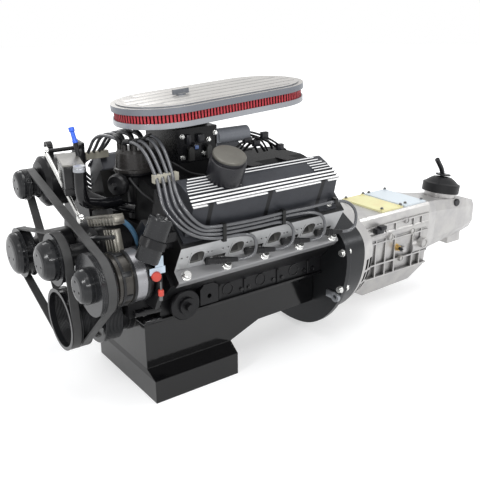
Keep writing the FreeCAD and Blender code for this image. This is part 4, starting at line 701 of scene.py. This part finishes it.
def side_details():
    """Core plugs, ribs and bolts on the block's sides, and the pan's rail bolts."""
    plugs, ribs = bmesh.new(), bmesh.new()
    for side in (-1, 1):
        across = Vector((0, -side, 0))
        for x in (196, 300, 412):
            hit = touch("engine_block", at(x, side * ABREAST, 24), across)
            turned(plugs, [(-0.002, 0.017), (0.0012, 0.017), (0.002, 0.0162), (0.002, 0.0145),
                           (-0.001, 0.013), (-0.001, 0)], hit, -across, steps=36)
        for x in (170, 248, 356, 462):
            low, high = at(x - 4, side * 134, 2), at(x + 4, side * 138.5, 40)
            low.y, high.y = sorted((low.y, high.y))
            bar(ribs, low, high, bevel=0.0015)
    settle("core_plugs", plugs, gloss_black, merge=MERGE)
    settle("block_ribs", ribs, cast_black)
    for side, name in SIDES:
        spots = [(30 + 62 * k, side * 128, -60) for k in range(8)]
        studs(f"rail_bolts_{name}", "oil_pan", zinc_dull, (0, 0, 1), spots, radius=5, height=4)
        face = [(x, side * ABREAST, 13) for x in (238, 262, 342, 372, 448, 478)]
        studs(f"side_bolts_{name}", "engine_block", gloss_black, (0, -side, 0), face, radius=6)


def harness():
    """Black leads that loop behind the filler cap to the throttle's rear, and small connectors."""
    runs = [
        [(262, -60, 402), (300, -70, 404), (340, -76, 392), (380, -78, 372), (410, -76, 352),
         (430, -72, 340)],
        [(262, -56, 396), (304, -64, 396), (350, -68, 380), (392, -68, 358), (418, -62, 340)],
        [(262, -62, 388), (296, -74, 384), (330, -78, 374), (352, -72, 358), (366, -64, 344)],
        [(290, -50, 345), (300, -66, 372), (322, -74, 388), (352, -74, 376), (374, -66, 344)],
        [(268, -56, 345), (276, -70, 372), (300, -78, 380), (326, -76, 366), (342, -66, 344)],
        [(310, -44, 345), (326, -60, 372), (356, -66, 382), (388, -60, 362), (402, -50, 344)],
        [(60, -62, 352), (66, -96, 366), (84, -112, 350), (112, -116, 330), (150, -112, 322)],
        [(-20, -60, 330), (-10, -90, 300), (12, -112, 282), (20, -128, 252), (6, -140, 236)],
    ]
    for k, run in enumerate(runs):
        radius = (2.6 + 0.5 * (k % 3)) * MM
        smooth_wire(f"harness_lead_{k + 1}", [at(*point) for point in run], radius, rubber)
    blocks = bmesh.new()
    for x, y, z in ((282, -68, 404), (356, -76, 388), (300, -76, 384), (410, -72, 350), (330, -76, 370)):
        spot = at(x, y, z)
        reach = Vector((0.010, 0.006, 0.008))
        bar(blocks, spot - reach, spot + reach, bevel=0.0015)
    settle("harness_connectors", blocks, plastic)


def small_fittings():
    """The heater hose, the compressor's bands, and the boots of the leads on the distributor's cap."""
    smooth_wire("heater_hose", [at(-98, -140, 272), at(-84, -142, 262), at(-66, -144, 244),
                                at(-52, -142, 214), at(-46, -136, 196)], 0.0055, hose_blue)
    bands = bmesh.new()
    for start in (-128, -101, -70):
        turned(bands, [(0, 0.0595), (0, 0.0618), (0.006, 0.0618), (0.006, 0.0595)],
               at(start, *COMPRESSOR_AXIS), (1, 0, 0), steps=72)
    for lean in (0.2, 1.1, 2.0, 2.9, 3.8, 4.7, 5.6):
        turn = Matrix.Translation(at(-118, *COMPRESSOR_AXIS)) @ Matrix.Rotation(lean, 4, "X")
        bar(bands, (-0.008, -0.006, 0.056), (0.012, 0.006, 0.0625), turn, 0.001)
    settle("compressor_bands", bands, satin_black, merge=MERGE)
    for side, name in SIDES:
        for k, route in enumerate(WIRE_ROUTES):
            first = [at(x, -y * side, z) for x, y, z in route[:3]]
            end = first[1].lerp(first[2], 0.34)
            smooth_wire(f"cap_boot_{name}_{k + 1}", [first[0], first[1], end], 0.0062, rubber)


def arched(shape, sizes, place):
    """Skins loops like rounded rectangles: width, height, depth, and how square crown and foot are."""
    known = set(shape.verts)
    turned(shape, [(k, 1) for k in range(len(sizes))], (0, 0, 0), (0, 0, 1))
    fresh = [vert for vert in shape.verts if vert not in known]
    for vert in fresh:
        width, height, depth, crown, foot = sizes[round(vert.co.z)]
        power = crown if vert.co.y > 0 else foot
        reach = 0
        if width:
            wide, high = abs(vert.co.x * 2 / width), abs(vert.co.y * 2 / height)
            reach = (wide ** power + high ** power) ** (-1 / power)
        vert.co = Vector((vert.co.x * reach, vert.co.y * reach, depth))
    bmesh.ops.transform(shape, matrix=place, verts=fresh)


def exhaust_ports():
    """Arched port mouths in the heads' exhaust faces, narrowing into the casting, with throats in a darker
    copy of the cast metal as painted shade.
    """
    frames, throats = bmesh.new(), bmesh.new()
    mouth = 0.0355, 0.0365
    rim = [(*mouth, -0.0008, 2.4, 6), (0.041, 0.042, -0.0008, 20, 20), (0.041, 0.042, 0.0007, 20, 20),
           (*mouth, 0.0007, 2.4, 6), (*mouth, -0.0008, 2.4, 6)]
    cup = [(0, 0, -0.018, 2, 2), (0.026, 0.026, -0.018, 2.4, 4), (0.031, 0.031, -0.008, 2.4, 5),
           (*mouth, -0.0006, 2.4, 6), (0.037, 0.038, -0.0006, 2.4, 6), (0.033, 0.033, -0.009, 2.4, 5),
           (0.028, 0.028, -0.0195, 2.4, 4), (0, 0, -0.0195, 2, 2)]
    sill, crown, first = (246.5, 37.94), (284, 27.1), 62
    for side in (-1, 1):
        for k in range(4):
            x = first - stagger(side) + BORE_SPACING * k
            low, high = (on_bank(side, x, *spot) for spot in (sill, crown))
            rise = (high - low).normalized()
            along = Vector((1, 0, 0))
            out = along.cross(rise) * (1 if along.cross(rise).y * side > 0 else -1)
            place = Matrix.Translation((low + high) / 2) @ Matrix((along, rise, out)).transposed().to_4x4()
            arched(frames, rim, place)
            arched(throats, cup, place)
    settle("port_frames", frames, cast_head, merge=MERGE)
    settle("port_throats", throats, port_shade, merge=MERGE)


def head_studs():
    """Flanged head bolts that stand on the heads' lower ledges."""
    shape = bmesh.new()
    for side in (-1, 1):
        foot, top = on_bank(side, 0, 232.5, 58.4), on_bank(side, 0, 300, 58.4)
        for k in range(5):
            spot = Vector(((33.9 - stagger(side) + BORE_SPACING * k) * MM, 0, 0)) + foot
            turned(shape, [(0.0002, 0), (0.0002, 0.0125), (0.0016, 0.0125), (0.0022, 0.0112), (0.004, 0.0098),
                           (0.0105, 0.0098), (0.0125, 0.0082), (0.0125, 0)], spot, top - foot, steps=24)
    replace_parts(settle("head_studs", shape, zinc, merge=MERGE), "head_bolts")


def plug_caps():
    """Ribbed rubber boots from the spark plugs to the leads' ends."""
    shape = bmesh.new()
    profile = [(0, 0), (0, 0.0088), (0.007, 0.0088), (0.009, 0.0078)]
    for k in range(5):
        start = 0.022 + 0.006 * k
        profile += [(start, 0.0076), (start + 0.001, 0.0084), (start + 0.003, 0.0084),
                    (start + 0.004, 0.0076)]
    profile += [(0.056, 0.0072), (0.07, 0.0058), (0.079, 0.0054), (0.079, 0)]
    for side in (-1, 1):
        for k in range(4):
            foot, tip = (at(x - stagger(side) + BORE_SPACING * k, side * y, z) for x, y, z in
                         ((86, 209.5, 148.5), (156, 223.5, 141)))
            turned(shape, profile, foot, tip - foot, steps=28)
    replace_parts(settle("plug_caps", shape, rubber, merge=MERGE), "plug_boots")


def breather():
    """The filler cap: a plain can on the cover's crown with a stepped shoulder and a pale top."""
    lean = math.radians(22)
    way = Vector((0, -math.sin(lean), math.cos(lean)))
    foot = at(149, -197, 334)
    can, top = bmesh.new(), bmesh.new()
    turned(can, [(-0.004, 0), (-0.004, 0.040), (0, 0.0425), (0.044, 0.0425), (0.0465, 0.0415), (0.048, 0.039),
                 (0.048, 0.0365), (0.0535, 0.0365), (0.0535, 0.02), (0.0535, 0)], foot, way, steps=72)
    turned(top, [(0.0538, 0), (0.0538, 0.037), (0.0555, 0.0388), (0.0595, 0.0388), (0.0615, 0.0372),
                 (0.062, 0.034), (0.062, 0)], foot, way, steps=72)
    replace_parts(settle("filler_can", can, plastic, merge=MERGE), "filler_cap")
    settle("filler_top", top, cap_top, merge=MERGE)


def ignition_can():
    """The coil: a drawn can with a rolled rim, a stepped tower and two side posts."""
    foot, top = at(-80, -236, 194), at(-35, -236, 287)
    can, posts = bmesh.new(), bmesh.new()
    way = (top - foot).normalized()
    turned(can, [(0, 0), (0, 0.0225), (0.0015, 0.025), (0.004, 0.026), (0.088, 0.026), (0.0895, 0.0268),
                 (0.0955, 0.0268), (0.0975, 0.0255), (0.0975, 0.023), (0.095, 0.0215), (0.095, 0.0125),
                 (0.1015, 0.0105), (0.1015, 0.006), (0.098, 0.005), (0.098, 0)], foot, way, steps=64)
    for reach in (-0.0165, 0.0165):
        turned(posts, [(0.094, 0), (0.094, 0.0042), (0.1, 0.0042), (0.1, 0.0024), (0.1032, 0.0024),
                       (0.1032, 0)], foot + Vector((0, reach, 0)), way, steps=16)
    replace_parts(settle("coil_can", can, coil_grey, merge=MERGE), "ignition_coil")
    settle("coil_posts", posts, zinc_dull, merge=MERGE)


def reservoir():
    """The steering tank with its bright top and narrow foot, its plugged stub, and the elbow hose."""
    tank, top = bmesh.new(), bmesh.new()
    turn = Matrix.Translation(at(-136, -2, 0)) @ Matrix.Rotation(math.radians(-15), 4, "Z")
    bar(tank, (-0.0215, -0.063, 0.326), (0.0215, 0.063, 0.377), turn, 0.004)
    bar(tank, (-0.018, -0.02, 0.3), (0.018, 0.05, 0.33), turn, 0.002)
    bar(top, (-0.0235, -0.065, 0.3765), (0.0235, 0.065, 0.381), turn, 0.0015)
    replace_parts(settle("steering_tank", tank, tank_black, merge=MERGE), "steering_reservoir")
    settle("steering_tank_top", top, tank_top, merge=MERGE)
    smooth_wire("tank_stub", [at(-106, 14, 366), at(-107, 18, 386), at(-108, 21, 400), at(-109, 22.5, 414)],
                0.0052, rubber)
    plug = bmesh.new()
    foot, tip = at(-108.7, 21.8, 409), at(-112, 31, 441)
    way = (tip - foot).normalized()
    turned(plug, [(0, 0), (0, 0.0062), (0.006, 0.0062), (0.007, 0.0052), (0.026, 0.0048), (0.027, 0.0066),
                  (0.0355, 0.0066), (0.0365, 0.0055), (0.0365, 0)], foot, way, steps=32)
    settle("tank_plug", plug, plug_blue, merge=MERGE)
    smooth_wire("elbow_hose", [at(-149, -88, 377), at(-151, -89.4, 352), at(-151, -89.4, 322),
                               at(-144, -85, 300), at(-121, -77, 291), at(-97, -72, 285), at(-70, -60, 280),
                               at(-46, -52, 278)], 0.0125, gloss_black, resolution=16)
    collar = bmesh.new()
    turned(collar, [(-0.004, 0), (-0.004, 0.0142), (0.003, 0.0142), (0.004, 0.0132), (0.0085, 0.0132),
                    (0.0085, 0)], at(-149, -88, 374), (0, 0, 1), steps=48)
    settle("hose_collar", collar, base_silver, merge=MERGE)


def pump_bracket():
    """The ribbed alloy bracket above the compressor, with a tie bar across it."""
    shape = bmesh.new()
    lean = Matrix.Rotation(math.radians(-16), 4, "X")
    arm = Matrix.Translation(at(-96, -78, 250)) @ lean
    bar(shape, (-0.012, -0.08, -0.008), (0.012, 0.08, 0.006), arm, 0.002)
    for k in range(9):
        across = -0.074 + 0.0175 * k
        bar(shape, (-0.0135, across, -0.013), (0.0135, across + 0.005, 0.010), arm, 0.0012)
    bar(shape, (-0.0135, -0.079, 0.004), (-0.0105, 0.079, 0.011), arm, 0.001)
    foot = Matrix.Translation(at(-98, -126, 206)) @ lean
    bar(shape, (-0.006, -0.028, -0.036), (0.008, 0.028, 0.034), foot, 0.002)
    for k in range(4):
        across = -0.026 + 0.0145 * k
        bar(shape, (-0.012, across, -0.036), (-0.004, across + 0.006, 0.034), foot, 0.0015)
    settle("pump_bracket", shape, bracket_alloy)
    tie = bmesh.new()
    foot, tip = at(-112, 26, 178), at(-112, -152, 232)
    length = (tip - foot).length
    turned(tie, [(0, 0), (0, 0.0048), (0.08, 0.0048), (0.082, 0.0062), (0.105, 0.0062), (0.107, 0.0048),
                 (length, 0.0048), (length, 0)], foot, tip - foot, steps=24)
    settle("tie_bar", tie, satin_black, merge=MERGE)


def compressor_caps():
    """Two red port caps at the compressor's rear, the pin between them, a pale tag and the lines below."""
    caps, necks, tag, lines = bmesh.new(), bmesh.new(), bmesh.new(), bmesh.new()
    for spot, way, radius in (((-52.5, -224, 151.5), (-0.3, -0.95, 0.05), 11),
                              ((-46, -231, 108), (0, -0.1, 1), 6.5)):
        foot, radius = at(*spot), radius * MM
        turned(caps, [(-0.002, 0), (-0.002, radius), (0.009, radius), (0.0115, radius - 0.0012),
                      (0.012, radius - 0.003), (0.012, 0)], foot, way, steps=28)
        turned(necks, [(-0.014, 0), (-0.014, radius - 0.002), (-0.002, radius - 0.002), (-0.002, 0)],
               foot, way, steps=24)
    turned(necks, [(0, 0), (0, 0.002), (0.03, 0.002), (0.03, 0)], at(-46, -232, 110), (-0.05, -0.1, 1),
           steps=12)
    bar(tag, at(-68, -227.2, 155), at(-30, -225.8, 170.6))
    bar(tag, at(-54, -227.2, 171.2), at(-34, -225.8, 195))
    for foot, tip, radius in (((-74, -150, 37), (-8, -150, 33), 9), ((-50, -150, 9), (-6, -150, 6), 6.5)):
        foot, tip, radius = at(*foot), at(*tip), radius * MM
        length = (tip - foot).length
        turned(lines, [(0, 0), (0, radius * 0.8), (0.002, radius), (0.02, radius), (0.022, radius * 1.2),
                       (0.027, radius * 1.2), (0.029, radius), (length, radius), (length, 0)], foot,
               tip - foot, steps=32)
    settle("port_caps", caps, cap_red, merge=MERGE)
    settle("port_necks", necks, zinc_dull, merge=MERGE)
    settle("pale_tag", tag, tag_pale)
    settle("front_lines", lines, gloss_black, merge=MERGE)


def bell_studs():
    """Flanged bolts round the bell's rim, with their nuts on the plate in front of it."""
    shape = bmesh.new()
    nut = [(0.0002, 0), (0.0002, 0.0105), (0.002, 0.0105), (0.003, 0.0086), (0.0095, 0.0084), (0.0095, 0)]
    head = [(along - 0.0002, across) for along, across in nut]
    for side in (-1, 1):
        for y, z in ((220, 76), (218, -30), (154.5, 146)):
            turned(shape, head, at(524.8, side * y, z), (1, 0, 0), steps=24)
            if y > 200:
                turned(shape, nut, at(510.2, side * y, z), (-1, 0, 0), steps=24)
    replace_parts(settle("bell_studs", shape, zinc, merge=MERGE), "bell_bolts")


def gearbox_fittings():
    """The case's brass sender, its connector, the plugs, bosses, and bolts round the covers."""
    sender, dark, bright, rounds = bmesh.new(), bmesh.new(), bmesh.new(), bmesh.new()
    out = Vector((0, -1, 0))
    spot = from_left("gearbox_case", 862, -21)
    turned(sender, [(-0.002, 0), (-0.002, 0.0125), (0.004, 0.0125), (0.005, 0.0095), (0.016, 0.0085),
                    (0.016, 0)], spot, out, steps=6)
    turned(dark, [(0.016, 0), (0.016, 0.0055), (0.024, 0.0055), (0.024, 0.003), (0.03, 0.0028), (0.03, 0)],
           spot, out, steps=20)
    spot = from_left("gearbox_case", 767, 55)
    bar(dark, spot + Vector((-0.016, -0.017, -0.008)), spot + Vector((0.014, 0.002, 0.009)), bevel=0.002)
    bar(dark, spot + Vector((-0.004, -0.022, 0.004)), spot + Vector((0.02, -0.002, 0.016)), bevel=0.002)
    for x, z, radius, height in ((823, 24, 11, 10), (880, -60, 9, 8), (972, -26, 15, 16), (900, 60, 9, 8),
                                 (930, 20, 10, 6)):
        spot, radius, height = from_left("gearbox_case", x, z), radius * MM, height * MM
        turned(rounds, [(-0.002, 0), (-0.002, radius * 1.15), (height * 0.5, radius * 1.05), (height, radius),
                        (height - 0.001, radius * 0.75), (height - 0.003, radius * 0.7), (height - 0.003, 0)],
               spot, out, steps=36)
    turned(dark, [(-0.001, 0), (-0.001, 0.013), (0.004, 0.013), (0.006, 0.011), (0.006, 0)],
           from_left("tail_housing", 1200, 55), out, steps=28)
    for x, y in ((808, 78), (808, -78), (888, 80), (888, -80), (912, 78), (912, -78), (988, 78), (988, -78)):
        turned(bright, [(0, 0), (0, 0.0062), (0.001, 0.0062), (0.0012, 0.0046), (0.0045, 0.0044),
                        (0.0045, 0)], at(x, y, 109), (0, 0, 1), steps=6)
    settle("gearbox_sender", sender, brass, merge=MERGE)
    settle("gearbox_connectors", dark, plastic, merge=MERGE)
    settle("gearbox_bosses", rounds, cast_case, merge=MERGE)
    settle("cover_screws", bright, zinc_dull, merge=MERGE)


def throttle_fittings():
    """Screws, sensors and a pale blue connector on the throttle body's left side."""
    bright, dark, pale = bmesh.new(), bmesh.new(), bmesh.new()
    for x, z in ((185, 398), (171, 366), (112, 412), (112, 362), (204, 412), (204, 360)):
        hit = from_left("throttle_body", x, z)
        if hit is not None:
            turned(bright, [(-0.001, 0), (-0.001, 0.0062), (0.0012, 0.0062), (0.0014, 0.0048),
                            (0.006, 0.0046), (0.006, 0)], hit, (0, -1, 0), steps=6)
    for x, z, wide, high, deep in ((144.5, 386, 5.5, 8, 12), (160, 404, 9, 10, 10), (128, 404, 6, 12, 7)):
        hit = from_left("throttle_body", x, z)
        if hit is not None:
            start, end = Vector((-wide, -deep, -high)) * MM, Vector((wide, 1, high)) * MM
            bar(dark, hit + start, hit + end, bevel=0.002)
    hit = from_left("throttle_body", 144.5, 386)
    if hit is not None:
        bar(pale, hit + Vector((-5, -14, -5)) * MM, hit + Vector((5, -11, 4)) * MM, bevel=0.0012)
    settle("throttle_screws", bright, zinc, merge=MERGE)
    settle("throttle_sensors", dark, plastic)
    settle("throttle_plug", pale, plug_pale)


def lifting_lug():
    """The bright eye at the rear of the block's left side."""
    shape = bmesh.new()
    foot = at(503, -203, -57)
    turned(shape, [(0, 0.0062), (0, 0.0145), (0.008, 0.0145), (0.008, 0.0062), (0, 0.0062)], foot, (1, 0, 0),
           steps=32)
    low, high = Vector((0.0005, 0.010, -0.009)), Vector((0.0075, 0.036, 0.011))
    bar(shape, foot + low, foot + high, bevel=0.0015)
    settle("lifting_lug", shape, base_silver, merge=MERGE)


for build in (compressor_caps, bell_studs, gearbox_fittings, throttle_fittings, lifting_lug, exhaust_ports,
              head_studs, plug_caps, breather, ignition_can, reservoir, pump_bracket, front_bolts,
              side_details, harness, small_fittings, plug_leads, pleated_filter, lid_ribs, cover_strips):
    build()
